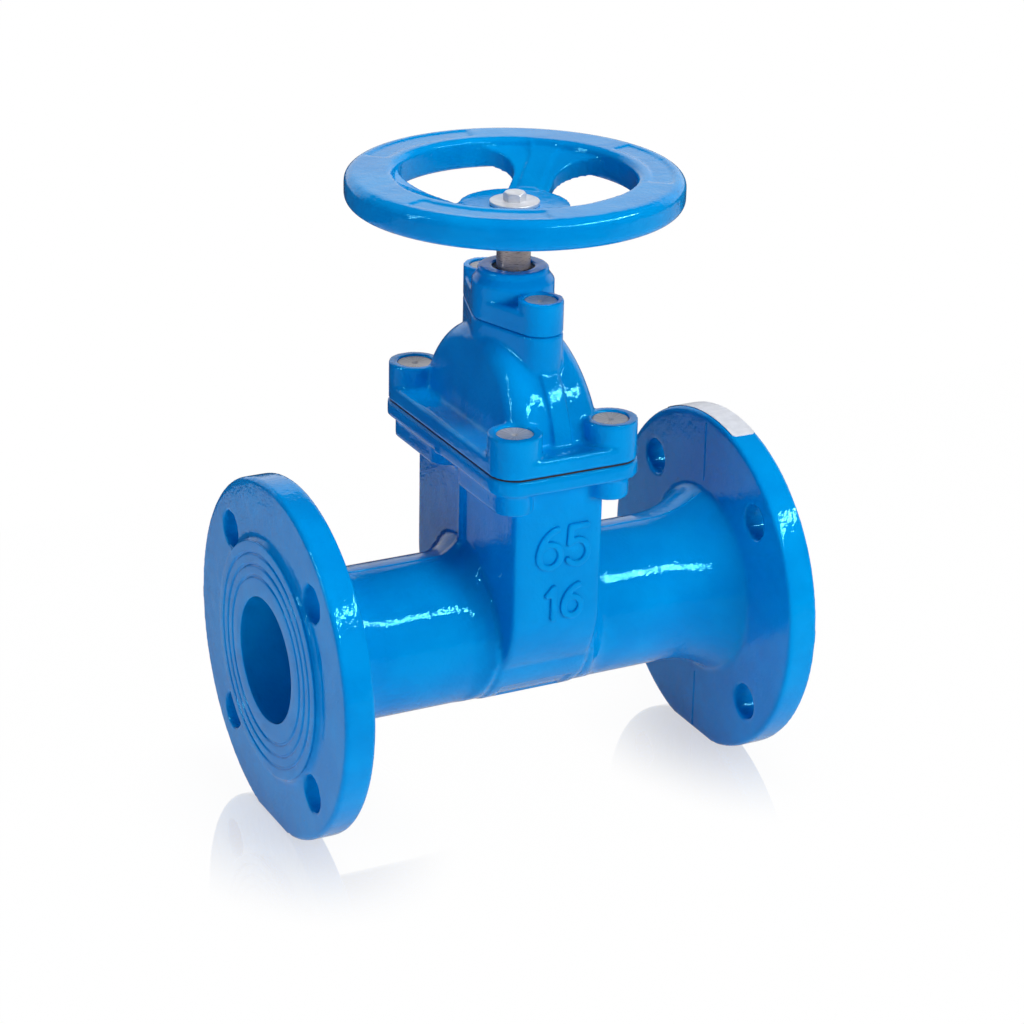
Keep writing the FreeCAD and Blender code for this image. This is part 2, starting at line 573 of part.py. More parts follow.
def bonnet():
    """The bonnet casting: dome with its rim rib, neck, flange and screw bosses."""
    shell = new_body("bonnet_form")
    dome = new_sketch(shell, "YZ_Plane")
    half_disc(dome, "chamber_side_radius", BONNET_SEAT)
    extrude(shell, dome, "2 * dome_half_low", both=True)
    for side in ("", "-"):
        sliver = new_sketch(shell, "XZ_Plane")
        contour(sliver, [(f"{side}dome_half_low", BONNET_SEAT), (f"{side}dome_half_high", NECK_TOP),
                         (f"{side}dome_half_low", NECK_TOP)])
        extrude(shell, sliver, "2 * chamber_side_radius", "Pocket", both=True)
    inside = size("dome_half_high - dome_rib_half")
    soften(shell, "dome_rim_round", lambda edge: abs(middle(edge).x) > inside
           and middle(edge).z > size(f"{BONNET_SEAT} + bonnet_flange_thickness"))
    rib = new_sketch(shell, "YZ_Plane")
    half_disc(rib, "(chamber_side_radius + dome_rib_rise)", BONNET_SEAT)
    extrude(shell, rib, "2 * dome_rib_half", both=True)
    neck = new_sketch(shell, "XY_Plane", f"({NECK_TOP} - neck_depth)")
    lozenge(neck)
    extrude(shell, neck, "neck_depth")
    plate = new_sketch(shell, "XY_Plane", BONNET_SEAT)
    rounded_rectangle(plate, "bonnet_half_x", "bonnet_half_y", "bonnet_corner")
    extrude(shell, plate, "bonnet_flange_thickness")
    rim_height = size(f"{BONNET_SEAT} + bonnet_flange_thickness")
    soften(shell, "bonnet_edge_round", lambda edge: abs(middle(edge).z - rim_height) < 0.01
           and (abs(middle(edge).x) > size(f"{BOLT_X} + bonnet_corner / 2")
                or abs(middle(edge).y) > size(f"{BOLT_Y} + bonnet_corner / 2")))
    bosses = new_sketch(shell, "XY_Plane", BONNET_SEAT)
    for x, y in screw_places():
        circle(bosses, x, y, "bonnet_corner")
    extrude(shell, bosses, "boss_height")
    drill_bonnet(shell)
    return cut_out("bonnet", shell, bonnet_core())


def drill_bonnet(shell):
    """Screw holes with head recesses, the stem's way and bearing seat, and the gland's tapped holes."""
    holes = new_sketch(shell, "XY_Plane", BOSS_TOP)
    recesses = new_sketch(shell, "XY_Plane", BOSS_TOP)
    for x, y in screw_places():
        circle(holes, x, y, "(bonnet_screw_dia + hole_gap) / 2")
        circle(recesses, x, y, "(bonnet_head_dia + screw_recess_gap) / 2")
    extrude(shell, holes, "boss_height", "Pocket")
    extrude(shell, recesses, f"{BOSS_TOP} - {BONNET_SCREW_SEAT}", "Pocket")
    seat = new_sketch(shell, "XY_Plane", NECK_TOP)
    circle(seat, "0", "0", "spigot_radius + spigot_gap")
    extrude(shell, seat, f"{NECK_TOP} - {LOWER_WASHER}", "Pocket")
    way = new_sketch(shell, "XY_Plane", NECK_TOP)
    circle(way, "0", "0", "thread_dia / 2 + face_gap")
    extrude(shell, way, f"{NECK_TOP} - {CHAMBER_ROOF}", "Pocket")
    tapped = new_sketch(shell, "XY_Plane", NECK_TOP)
    for x, y in gland_places():
        circle(tapped, x, y, "gland_screw_dia / 2 + thread_gap")
    tip = f"({GLAND_SCREW_SEAT} - gland_screw_length)"
    extrude(shell, tapped, f"{NECK_TOP} - {tip} + hole_gap", "Pocket")


def bonnet_core():
    """The round space that takes the open gate."""
    core = new_body("bonnet_core")
    outline = new_sketch(core, "YZ_Plane")
    radius = "(chamber_side_radius - pipe_wall)"
    edge = f"sqrt({radius}^2 - ({CHAMBER_ROOF} - {BONNET_SEAT})^2)"
    contour(outline, [
        (f"-{radius}", "body_top"), (radius, "body_top"), (radius, BONNET_SEAT, radius, 1),
        (edge, CHAMBER_ROOF), (f"-{edge}", CHAMBER_ROOF, radius, 1), (f"-{radius}", BONNET_SEAT)])
    extrude(core, outline, "2 * cavity_half_width", both=True)
    guide_rails(core)
    return core


def bonnet_gasket():
    gasket = new_body("bonnet_gasket")
    sketch = new_sketch(gasket, "XY_Plane", "body_top")
    rounded_rectangle(sketch, "(bonnet_half_x - gasket_inset)", "(bonnet_half_y - gasket_inset)",
                      "(bonnet_corner - gasket_inset)")
    rectangle(sketch, "(cavity_half_width + gasket_inset)", "(chamber_side_radius - pipe_wall + gasket_inset)")
    for x, y in screw_places():
        circle(sketch, x, y, "(bonnet_screw_dia + hole_gap) / 2")
    extrude(gasket, sketch, "gasket_thickness")
    return gasket


def gland():
    """The gland: lozenge rim, round middle with a shoulder, screw bosses and spigot."""
    body = new_body("gland")
    rim = new_sketch(body, "XY_Plane", f"({NECK_TOP} + seam)")
    lozenge(rim)
    extrude(body, rim, "gland_plate")
    top = size(f"{NECK_TOP} + seam + gland_plate")
    soften(body, "gland_edge_round", lambda edge: abs(middle(edge).z - top) < 0.01)
    foot = new_sketch(body, "XY_Plane", NECK_TOP)
    lozenge(foot, "seam_inset")
    extrude(body, foot, "seam")
    turn(body, [
        ("0", NECK_TOP), ("neck_mid_radius - seam_inset", NECK_TOP),
        ("neck_mid_radius - seam_inset", f"{NECK_TOP} + seam"), ("neck_mid_radius", f"{NECK_TOP} + seam"),
        ("neck_mid_radius", f"{NECK_TOP} + gland_shoulder"),
        ("gland_top_radius", f"{NECK_TOP} + gland_shoulder + gland_slope"),
        ("gland_top_radius", f"{GLAND_TOP} - gland_edge_round / 2"),
        ("gland_top_radius - gland_edge_round / 2", GLAND_TOP), ("0", GLAND_TOP)])
    bosses = new_sketch(body, "XY_Plane", f"({NECK_TOP} + seam)")
    for x, y in gland_places():
        circle(bosses, x, y, "neck_end_radius")
    extrude(body, bosses, "gland_boss_height - seam")
    spigot = new_sketch(body, "XY_Plane", NECK_TOP)
    circle(spigot, "0", "0", "spigot_radius")
    extrude(body, spigot, "spigot_length", down=True)
    ring_groove(body, "spigot_radius - ring_section + spigot_gap", "spigot_radius + spigot_gap", GLAND_RING)
    holes = new_sketch(body, "XY_Plane", GLAND_BOSS_TOP)
    recesses = new_sketch(body, "XY_Plane", GLAND_BOSS_TOP)
    for x, y in gland_places():
        circle(holes, x, y, "(gland_screw_dia + hole_gap) / 2")
        circle(recesses, x, y, "(gland_head_dia + screw_recess_gap) / 2")
    extrude(body, holes, "gland_boss_height", "Pocket")
    extrude(body, recesses, f"{GLAND_BOSS_TOP} - {GLAND_SCREW_SEAT}", "Pocket")
    seat = new_sketch(body, "XY_Plane", SPIGOT_FOOT)
    circle(seat, "0", "0", "bush_radius + spigot_gap")
    extrude(body, seat, "bush_length + face_gap", "Pocket", down=True)
    way = new_sketch(body, "XY_Plane", GLAND_TOP)
    circle(way, "0", "0", "stem_dia / 2 + face_gap")
    extrude(body, way, "gland_height", "Pocket")
    wiper_seat = new_sketch(body, "XY_Plane", GLAND_TOP)
    circle(wiper_seat, "0", "0", "wiper_radius + spigot_gap")
    extrude(body, wiper_seat, "wiper_sink + wiper_height", "Pocket")
    return body


def ring_groove(body, inner, outer, height):
    """A groove turned into a piece for a sealing ring, as wide as the ring and a little play."""
    half = "((ring_section + face_gap) / 2)"
    low, high = f"{height} - {half}", f"{height} + {half}"
    turn(body, [(inner, low), (outer, low), (outer, high), (inner, high)], "Groove")


def sealing_rings(label, inner, heights):
    """Square-section rings about the stem, one with its middle at each height."""
    rings = new_body(label)
    rings.AllowCompound = True
    for height in heights:
        sketch = new_sketch(rings, "XY_Plane", f"{height} - ring_section / 2")
        circle(sketch, "0", "0", f"{inner} + ring_section")
        circle(sketch, "0", "0", inner)
        extrude(rings, sketch, "ring_section")
    return rings


def gland_bush():
    """The bronze bush in the gland, grooved inside for the stem and outside for the gland."""
    bush = ring("gland_bush", "stem_dia / 2 + running_gap", "bush_radius", BUSH_FOOT, "bush_length")
    for height in STEM_RINGS:
        ring_groove(bush, "stem_dia / 2", "stem_dia / 2 + running_gap + ring_section", height)
    for height in BUSH_RINGS:
        ring_groove(bush, "bush_radius + spigot_gap - ring_section", "bush_radius + spigot_gap", height)
    return bush


def screws(label, places, diameter, head, seat, length, socket):
    """Socket head screws: heads as high as their thread is thick, plain shanks."""
    group = new_body(label)
    group.AllowCompound = True
    heads = new_sketch(group, "XY_Plane", seat)
    shanks = new_sketch(group, "XY_Plane", seat)
    sockets = new_sketch(group, "XY_Plane", f"({seat} + {diameter})")
    for x, y in places:
        circle(heads, x, y, f"{head} / 2")
        circle(shanks, x, y, f"{diameter} / 2")
        hexagon(sockets, x, y, socket)
    extrude(group, heads, diameter)
    extrude(group, shanks, length, down=True)
    extrude(group, sockets, f"{diameter} / 2", "Pocket")
    return group


def caps(label, places, head, top):
    """Filler caps that close the recesses over the screw heads."""
    group = new_body(label)
    group.AllowCompound = True
    sketch = new_sketch(group, "XY_Plane", f"({top} - cap_sink)")
    for x, y in places:
        circle(sketch, x, y, f"({head} + screw_recess_gap) / 2 - spigot_gap")
    extrude(group, sketch, "cap_thickness", down=True)
    return group


def stem():
    """The stem: plain above, collar between the thrust washers, thread below, square for the wheel."""
    body = new_body("stem")
    top = "(hub_top - face_gap)"
    turn(body, [
        ("0", "stem_foot"), ("thread_dia / 2 - stem_bevel", "stem_foot"),
        ("thread_dia / 2", "stem_foot + stem_bevel"), ("thread_dia / 2", COLLAR_FOOT),
        ("collar_radius", COLLAR_FOOT), ("collar_radius", f"{COLLAR_FOOT} + collar_thickness"),
        ("stem_dia / 2", f"{COLLAR_FOOT} + collar_thickness"), ("stem_dia / 2", top), ("0", top)])
    flats = new_sketch(body, "XY_Plane", top)
    circle(flats, "0", "0", "stem_dia")
    rectangle(flats, "square_size / 2", "square_size / 2")
    extrude(body, flats, f"{top} - {HUB_FOOT}", "Pocket")
    tapped = new_sketch(body, "XY_Plane", top)
    circle(tapped, "0", "0", "wheel_bolt_dia / 2 + thread_gap")
    extrude(body, tapped, "wheel_bolt_length", "Pocket")
    return body


def window_outline(sketch):
    """One opening between two spokes, with its middle along X: the spokes' sides are straight
    and flare into rim and hub with tangent arcs."""
    half = "(180 / spoke_count)"
    along_x, along_y = f"cos({half})", f"sin({half})"
    outer, inner = RIM_INSIDE, "hub_radius"

    def corner(radius, edge, sign):
        """Centre of a corner arc, and where it leaves the spoke and meets the ring."""
        away = f"(spoke_half_width + {radius})"
        ring_centre = f"({edge} - {radius})" if edge == outer else f"({edge} + {radius})"
        run = f"sqrt({ring_centre}^2 - {away}^2)"
        centre = (f"({away} * {along_y} + {run} * {along_x})", f"({run} * {along_y} - {away} * {along_x})")
        on_spoke = (f"({centre[0]} - {radius} * {along_y})", f"({centre[1]} + {radius} * {along_x})")
        on_ring = tuple(f"({item} * {edge} / {ring_centre})" for item in centre)
        return [(x, f"{sign}{y}") for x, y in (on_spoke, on_ring)]

    rim_round, hub_round = "window_outer_round", "window_inner_round"
    low_rim, high_rim = corner(rim_round, outer, "-"), corner(rim_round, outer, "")
    low_hub, high_hub = corner(hub_round, inner, "-"), corner(hub_round, inner, "")
    contour(sketch, [
        low_hub[0], (*low_rim[0], rim_round, 1), (*low_rim[1], outer, 1),
        (*high_rim[1], rim_round, 1), high_rim[0], (*high_hub[0], hub_round, 1),
        (*high_hub[1], inner, -1), (*low_hub[1], hub_round, 1)])


def track_outline(sketch):
    """A sunk track on top of the rim, with its middle along X."""
    inner = f"({WHEEL_RADIUS} - rim_width / 2 - rim_track_width / 2)"
    outer = f"({WHEEL_RADIUS} - rim_width / 2 + rim_track_width / 2)"
    lean_x, lean_y = "cos(rim_track_angle / 2)", "sin(rim_track_angle / 2)"
    contour(sketch, [
        (f"{outer} * {lean_x}", f"-{outer} * {lean_y}", outer, 1), (f"{outer} * {lean_x}", f"{outer} * {lean_y}"),
        (f"{inner} * {lean_x}", f"{inner} * {lean_y}", inner, -1), (f"{inner} * {lean_x}", f"-{inner} * {lean_y}")])


def turned_sketch(wheel):
    """A sketch at the top of the rim, with its X axis midway between two spokes."""
    sketch = new_sketch(wheel, "XY_Plane", "wheel_top")
    sketch.AttachmentOffset = FreeCAD.Placement(
        sketch.AttachmentOffset.Base, FreeCAD.Rotation(FreeCAD.Vector(0, 0, 1), 1))
    sketch.setExpression("AttachmentOffset.Base.z", bound("wheel_top"))
    sketch.setExpression("AttachmentOffset.Rotation.Angle", bound("spoke_angle + 180 / spoke_count"))
    return sketch


def repeat(wheel, sketch, depth):
    """Cut a sketch into the wheel once for each spoke."""
    cut = extrude(wheel, sketch, depth, "Pocket")
    pattern = wheel.newObject("PartDesign::PolarPattern", "handwheel_pattern")
    pattern.Originals = [cut]
    pattern.Axis = (sketch, ["N_Axis"])
    pattern.Angle = 360
    pattern.setExpression("Occurrences", bound("spoke_count"))
    wheel.Tip = pattern
    doc.recompute()


def handwheel():
    """The handwheel casting: dished web with three windows, rounded rim and hub with a square hole."""
    wheel = new_body("handwheel")
    web_in, web_out = "(hub_foot_radius)", f"({RIM_INSIDE} + rim_inner_bevel)"
    low, high = "(hub_top - web_step)", "(wheel_top - rim_step)"
    turn(wheel, [
        ("0", f"{low} - web_thickness"), (web_in, f"{low} - web_thickness"),
        (web_out, f"{high} - web_thickness"), (web_out, high), ("hub_radius", low), ("0", low)])
    window = turned_sketch(wheel)
    window_outline(window)
    repeat(wheel, window, "wheel_top - hub_top + 2 * hub_height")
    turn(wheel, [
        (f"{RIM_INSIDE} + rim_inner_bevel", RIM_FOOT),
        (f"{WHEEL_RADIUS} - rim_round", RIM_FOOT, "rim_round", 1),
        (WHEEL_RADIUS, f"{RIM_FOOT} + rim_round"),
        (WHEEL_RADIUS, "wheel_top - rim_round", "rim_round", 1),
        (f"{WHEEL_RADIUS} - rim_round", "wheel_top"),
        (f"{RIM_INSIDE} + rim_inner_bevel", "wheel_top"),
        (RIM_INSIDE, "wheel_top - rim_inner_bevel"),
        (RIM_INSIDE, f"{RIM_FOOT} + rim_inner_bevel")])
    turn(wheel, [
        ("0", HUB_FOOT), ("hub_foot_radius", HUB_FOOT),
        ("hub_radius", "hub_top - web_thickness / 2"), ("hub_radius", "hub_top"), ("0", "hub_top")])
    track = turned_sketch(wheel)
    track_outline(track)
    repeat(wheel, track, "rim_track_depth")
    socket = new_sketch(wheel, "XY_Plane", "hub_top")
    rectangle(socket, "(square_size / 2 + square_gap)", "(square_size / 2 + square_gap)")
    extrude(wheel, socket, "hub_height", "Pocket")
    return wheel


def wheel_bolt():
    """Hexagon bolt that clamps the wheel on the stem."""
    bolt = new_body("handwheel_bolt")
    seat = "(hub_top + wheel_washer_thickness)"
    head = new_sketch(bolt, "XY_Plane", seat)
    hexagon(head, "0", "0", "wheel_bolt_hex")
    extrude(bolt, head, "wheel_bolt_head")
    shank = new_sketch(bolt, "XY_Plane", seat)
    circle(shank, "0", "0", "wheel_bolt_dia / 2")
    extrude(bolt, shank, "wheel_bolt_length", down=True)
    return bolt


def gate_form(label, inset):
    """The gate's form with its stem tunnel, nut slot and guide notches, drawn shut. The inset
    is 0 for the rubber's outside and the rubber's thickness for the iron inside it."""
    form = new_body(label, "gate_lift")
    outline = new_sketch(form, "YZ_Plane")
    shoulder = f"({BONNET_SEAT} - gate_lift)"
    top = f"(gate_top - {inset})"
    chamber_outline(outline, f"(pipe_wall + gate_side_inset + {inset})",
                    f"(pipe_wall + floor_rise + face_gap + {inset})", top, shoulder)
    high = f"(cavity_half_width - face_gap - {inset})"
    extrude(form, outline, f"2 * {high}", both=True)
    seat_slivers(form, high, f"(cavity_half_low - face_gap - {inset})")
    tunnel = new_sketch(form, "XY_Plane")
    circle(tunnel, "0", "0", "thread_dia / 2 + stem_tunnel_gap")
    extrude(form, tunnel, "3 * gate_top", "Pocket", both=True)
    pocket = new_sketch(form, "XZ_Plane")
    rectangle(pocket, "cavity_half_width", "nut_height / 2 + face_gap / 2",
              "0", "(nut_foot + nut_height / 2 + face_gap / 2)")
    extrude(form, pocket, "2 * (nut_half_y + spigot_gap)", "Pocket", both=True)
    for side in ("", "-"):
        notch = new_sketch(form, "XZ_Plane", f"{side}{GUIDE_FLOOR}")
        rectangle(notch, "guide_half_width", "guide_length / 2", "0", "(guide_foot + guide_length / 2)")
        extrude(form, notch, "chamber_side_radius", "Pocket", down=(side == ""))
    return form


def stem_nut():
    """The brass nut that rides on the stem's thread and carries the gate."""
    nut = new_body("stem_nut", "gate_lift")
    block = new_sketch(nut, "XY_Plane", "nut_foot")
    rectangle(block, "nut_half_x", "nut_half_y")
    circle(block, "0", "0", "thread_dia / 2 + running_gap")
    extrude(nut, block, "nut_height")
    return nut


def gate_guides():
    """Plastic shoes on both sides of the gate, each grooved for its rail."""
    shoes = new_body("gate_guides", "gate_lift")
    shoes.AllowCompound = True
    outer = "(chamber_side_radius - pipe_wall - face_gap)"
    top = "(guide_foot + guide_length)"
    shoulder = f"({BONNET_SEAT} - gate_lift)"
    low_y = f"sqrt({outer}^2 - (chamber_side_height - guide_foot)^2)"
    high_y = f"sqrt({outer}^2 - ({top} - {shoulder})^2)"
    outline = new_sketch(shoes, "YZ_Plane")
    contour(outline, [
        (GUIDE_FLOOR, "guide_foot"), (low_y, "guide_foot", outer, 1), (outer, "chamber_side_height"),
        (outer, shoulder, outer, 1), (high_y, top), (GUIDE_FLOOR, top)])
    contour(outline, [
        (f"-{low_y}", "guide_foot"), (f"-{GUIDE_FLOOR}", "guide_foot"), (f"-{GUIDE_FLOOR}", top),
        (f"-{high_y}", top, outer, 1), (f"-{outer}", shoulder), (f"-{outer}", "chamber_side_height", outer, 1)])
    extrude(shoes, outline, "2 * (guide_half_width - spigot_gap)", both=True)
    groove = new_sketch(shoes, "XY_Plane")
    wall = "(chamber_side_radius - pipe_wall)"
    for side in ("", "-"):
        rectangle(groove, "(rail_half_width + face_gap)", "(rail_rise + face_gap)", "0", f"{side}{wall}")
    extrude(shoes, groove, "3 * gate_top", "Pocket", both=True)
    return shoes


def build_valve():
    pieces = [valve_body(), bonnet_gasket(), bonnet(), gland(), gland_bush()]
    pieces.append(sealing_rings("gland_ring", "spigot_radius + spigot_gap - ring_section", [GLAND_RING]))
    pieces.append(sealing_rings("bush_rings", "bush_radius + spigot_gap - ring_section", BUSH_RINGS))
    pieces.append(sealing_rings("stem_rings", "stem_dia / 2 + running_gap", STEM_RINGS))
    pieces.append(ring("wiper_ring", "stem_dia / 2 + running_gap", "wiper_radius",
                       f"({GLAND_TOP} - wiper_sink - wiper_height)", "wiper_height"))
    pieces.append(ring("upper_thrust_washer", "stem_dia / 2 + face_gap", "spigot_radius",
                       UPPER_WASHER, "washer_thickness"))
    pieces.append(ring("lower_thrust_washer", "thread_dia / 2 + face_gap", "spigot_radius",
                       LOWER_WASHER, "washer_thickness"))
    pieces.append(screws("bonnet_screws", screw_places(), "bonnet_screw_dia", "bonnet_head_dia",
                         BONNET_SCREW_SEAT, "bonnet_screw_length", "bonnet_screw_socket"))
    pieces.append(screws("gland_screws", gland_places(), "gland_screw_dia", "gland_head_dia",
                         GLAND_SCREW_SEAT, "gland_screw_length", "gland_screw_socket"))
    pieces.append(caps("bonnet_screw_caps", screw_places(), "bonnet_head_dia", BOSS_TOP))
    pieces.append(caps("gland_screw_caps", gland_places(), "gland_head_dia", GLAND_BOSS_TOP))
    pieces += [stem(), handwheel(), wheel_bolt()]
    pieces.append(ring("handwheel_washer", "(wheel_bolt_dia + hole_gap) / 2", "wheel_washer_dia / 2",
                       "hub_top", "wheel_washer_thickness"))
    iron = gate_form("gate_iron", "rubber_thickness")
    pieces += [iron, cut_out("gate_rubber", gate_form("gate_form", "0"), iron), stem_nut(), gate_guides()]
    return pieces


pieces = build_valve()
doc.recompute()
for item in doc.Objects:
    if {"Invalid", "Error"} & set(item.State):
        raise RuntimeError(f"{item.Label} failed: {item.State}")
for piece in pieces:
    if piece.Shape.isNull() or not piece.Shape.isValid():
        raise RuntimeError(f"{piece.Label} has no valid shape")

os.makedirs("parts", exist_ok=True)
for piece in pieces:
    piece.Shape.exportStep(f"parts/{piece.Label}.step")
    print(f"{piece.Label}: {len(piece.Shape.Solids)} solid(s), {piece.Shape.Volume / 1000:.2f} cm3")
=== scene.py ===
# %% [markdown]
# # A flanged gate valve, dressed
#
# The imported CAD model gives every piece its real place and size. This script turns it into a
# picture: iron castings under a thick coat of blue epoxy, a steel stem, plain metal caps and a
# rubber seam, on a white studio table. All lengths are metres, and the pipe runs along X.
# The frame is loaded first, because each later cell reads its sizes.

# %% Load the frame
import json
import math

import bmesh
import bpy
import numpy as np
from mathutils import Matrix, Vector
from mathutils.bvhtree import BVHTree


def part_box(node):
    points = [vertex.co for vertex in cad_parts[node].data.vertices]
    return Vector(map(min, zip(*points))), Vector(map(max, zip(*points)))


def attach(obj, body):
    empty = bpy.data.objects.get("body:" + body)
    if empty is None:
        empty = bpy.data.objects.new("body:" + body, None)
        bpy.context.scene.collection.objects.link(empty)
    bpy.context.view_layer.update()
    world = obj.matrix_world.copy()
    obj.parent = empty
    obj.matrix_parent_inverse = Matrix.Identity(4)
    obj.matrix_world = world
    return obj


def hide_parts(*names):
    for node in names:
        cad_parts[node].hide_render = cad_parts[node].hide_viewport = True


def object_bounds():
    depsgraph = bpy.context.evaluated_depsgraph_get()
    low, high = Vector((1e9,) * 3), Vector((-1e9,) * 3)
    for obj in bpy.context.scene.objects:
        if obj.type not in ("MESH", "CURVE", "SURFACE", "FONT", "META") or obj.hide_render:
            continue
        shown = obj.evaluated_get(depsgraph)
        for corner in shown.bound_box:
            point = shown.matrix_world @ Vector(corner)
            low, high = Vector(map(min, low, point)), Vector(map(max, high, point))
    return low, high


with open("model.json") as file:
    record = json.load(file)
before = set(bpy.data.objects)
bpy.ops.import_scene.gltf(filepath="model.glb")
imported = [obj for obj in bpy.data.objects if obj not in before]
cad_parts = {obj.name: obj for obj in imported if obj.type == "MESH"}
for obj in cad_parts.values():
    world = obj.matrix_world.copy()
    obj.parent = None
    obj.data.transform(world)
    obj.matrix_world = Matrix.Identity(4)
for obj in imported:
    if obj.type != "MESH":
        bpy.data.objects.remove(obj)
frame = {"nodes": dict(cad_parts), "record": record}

CAD_BOX = [list(corner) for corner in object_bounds()]
MM = 0.001
print("CAD box", [[round(value, 4) for value in corner] for corner in CAD_BOX])

# %% [markdown]
# ## Sizes read from the frame
#
# Nothing is measured twice. The pipe's axis and length come from the record's mounts, and flange,
# wheel and caps come from the boxes of their nodes. A real fitter would name the same few sizes.

# %% Read the driving sizes
mounts = {mount["name"]: mount for mount in frame["record"]["mounts"]}
inlet_holes = [mount["pos_m"] for name, mount in mounts.items() if name.startswith("inlet_hole")]
AXIS = sum(place[2] for place in inlet_holes) / len(inlet_holes)
HALF_LENGTH = mounts["outlet_face"]["pos_m"][0]
FLANGE_RADIUS = CAD_BOX[1][1]
BORE_RADIUS = 32.5 * MM
RAISED_FACE_RADIUS = 61 * MM
RAISED_FACE_STEP = 3 * MM
FLANGE_THICKNESS = 19 * MM
FLANGE_BACK = HALF_LENGTH - FLANGE_THICKNESS
print("axis height", round(AXIS, 4), "half length", HALF_LENGTH, "flange radius", round(FLANGE_RADIUS, 4))

# %% [markdown]
# ## The camera
#
# The photograph was taken with a long lens from the front left, a little above the wheel. Azimuth,
# height, distance and a small roll were fitted to the rims of the flanges and to the stem's axis,
# so the camera is built from those angles and not moved by eye.

# %% Place the camera
CAMERA_AZIMUTH = math.radians(-27.503)
CAMERA_ELEVATION = math.radians(22.599)
CAMERA_ROLL = math.radians(1.272)
CAMERA_DISTANCE = 1560.67 * MM
CAMERA_TARGET = Vector((2.327 * MM, 0, AXIS + 56.974 * MM))
FOCAL_PIXELS, FRAME_PIXELS, SENSOR_WIDTH = 3045.72, 1024, 36


def place_camera():
    flat = math.cos(CAMERA_ELEVATION)
    back = Vector((math.sin(CAMERA_AZIMUTH) * flat, -math.cos(CAMERA_AZIMUTH) * flat,
                   math.sin(CAMERA_ELEVATION)))
    right = Vector((0, 0, 1)).cross(back).normalized()
    up = back.cross(right)
    turn = Matrix.Rotation(CAMERA_ROLL, 3, back)
    axes = Matrix((turn @ right, turn @ up, back)).transposed()
    camera = bpy.data.objects.new("camera", bpy.data.cameras.new("camera"))
    camera.data.sensor_width = SENSOR_WIDTH
    camera.data.lens = FOCAL_PIXELS / FRAME_PIXELS * SENSOR_WIDTH
    camera.matrix_world = Matrix.Translation(CAMERA_TARGET + back * CAMERA_DISTANCE) @ axes.to_4x4()
    bpy.context.scene.collection.objects.link(camera)
    bpy.context.scene.camera = camera
    return camera


camera = place_camera()
print("camera lens", round(camera.data.lens, 2), "at", [round(value, 3) for value in camera.location])

# %% [markdown]
# ## Writing a shader as sums
#
# A material is a net of nodes, and most of its nodes are plain arithmetic. `Wire` wraps one socket,
# so that `1 - mask` or `grain * 0.2 + 0.5` builds the Math nodes by itself. `Finish` holds the
# material, or the sky, and has one method for every other kind of node.

# %% Wrap a socket
class Wire:
    """A value that runs through a material."""

    def __init__(self, finish, socket):
        self.finish = finish
        self.socket = socket

    def math(self, operation, *values, clamp=False):
        sockets = dict(enumerate(values))
        return self.finish.node("ShaderNodeMath", {"operation": operation, "use_clamp": clamp}, sockets)

    def __add__(self, other):
        return self.math("ADD", self, other)

    __radd__ = __add__

    def __mul__(self, other):
        return self.math("MULTIPLY", self, other)

    __rmul__ = __mul__

    def __sub__(self, other):
        return self.math("SUBTRACT", self, other)

    def __rsub__(self, other):
        return self.math("SUBTRACT", other, self)

    def or_else(self, other):
        """The larger of two masks."""
        return self.math("MAXIMUM", self, other)

    def ramp(self, low, high, out_low=0.0, out_high=1.0):
        """Runs smoothly from one value to the other as this one goes from low to high."""
        sockets = {"Value": self, "From Min": low, "From Max": high, "To Min": out_low, "To Max": out_high}
        return self.finish.node("ShaderNodeMapRange", {"interpolation_type": "SMOOTHSTEP"}, sockets)


# %% Wrap a material
class Finish:
    """The net of nodes of a material or of the sky, under construction."""

    def __init__(self, name, owner=None):
        self.material = owner or bpy.data.materials.new(name)
        self.material.use_nodes = True
        self.tree = self.material.node_tree
        self.tree.nodes.clear()

    def node(self, kind, settings=None, sockets=None, output=0):
        """Adds a node: first its settings, then the values or wires of its sockets."""
        made = self.tree.nodes.new(kind)
        for name, value in (settings or {}).items():
            setattr(made, name, value)
        for name, value in (sockets or {}).items():
            if isinstance(value, Wire):
                self.tree.links.new(value.socket, made.inputs[name])
            else:
                made.inputs[name].default_value = value
        return Wire(self, made.outputs[output]) if made.outputs else None

    def place(self, stretch=(1, 1, 1)):
        """Where a point is on the object, in metres, stretched along each axis."""
        point = self.node("ShaderNodeTexCoord", output="Object")
        return self.node("ShaderNodeMapping", {}, {"Vector": point, "Scale": stretch})

    def noise(self, size, detail=2.0, roughness=0.5, stretch=(1, 1, 1)):
        """Cloudy noise whose lumps are about size across, in metres."""
        sockets = {"Vector": self.place(stretch), "Scale": 1 / size, "Detail": detail, "Roughness": roughness}
        return self.node("ShaderNodeTexNoise", {}, sockets)

    def dots(self, spacing, radius):
        """1 in small round dots that lie about spacing apart, and 0 between them."""
        sockets = {"Vector": self.place(), "Scale": 1 / spacing}
        return self.node("ShaderNodeTexVoronoi", {}, sockets).ramp(radius / spacing, 0.3 * radius / spacing)

    def mix(self, factor, first, second):
        """One colour where the factor is 0 and the other where it is 1."""
        # The node has sockets of one name for each type: 6 and 7 take colours, and output 2 gives one.
        return self.node("ShaderNodeMix", {"data_type": "RGBA"}, {0: factor, 6: first, 7: second}, output=2)

    def bump(self, height, depth):
        return self.node("ShaderNodeBump", {}, {"Height": height, "Distance": depth, "Strength": 1.0})

    def surface(self, **sockets):
        """The one shader that the finish ends in. Its sockets are named with underscores."""
        named = {name.replace("_", " "): value for name, value in sockets.items()}
        shader = self.node("ShaderNodeBsdfPrincipled", {}, named)
        self.node("ShaderNodeOutputMaterial", {}, {"Surface": shader})
        return self.material


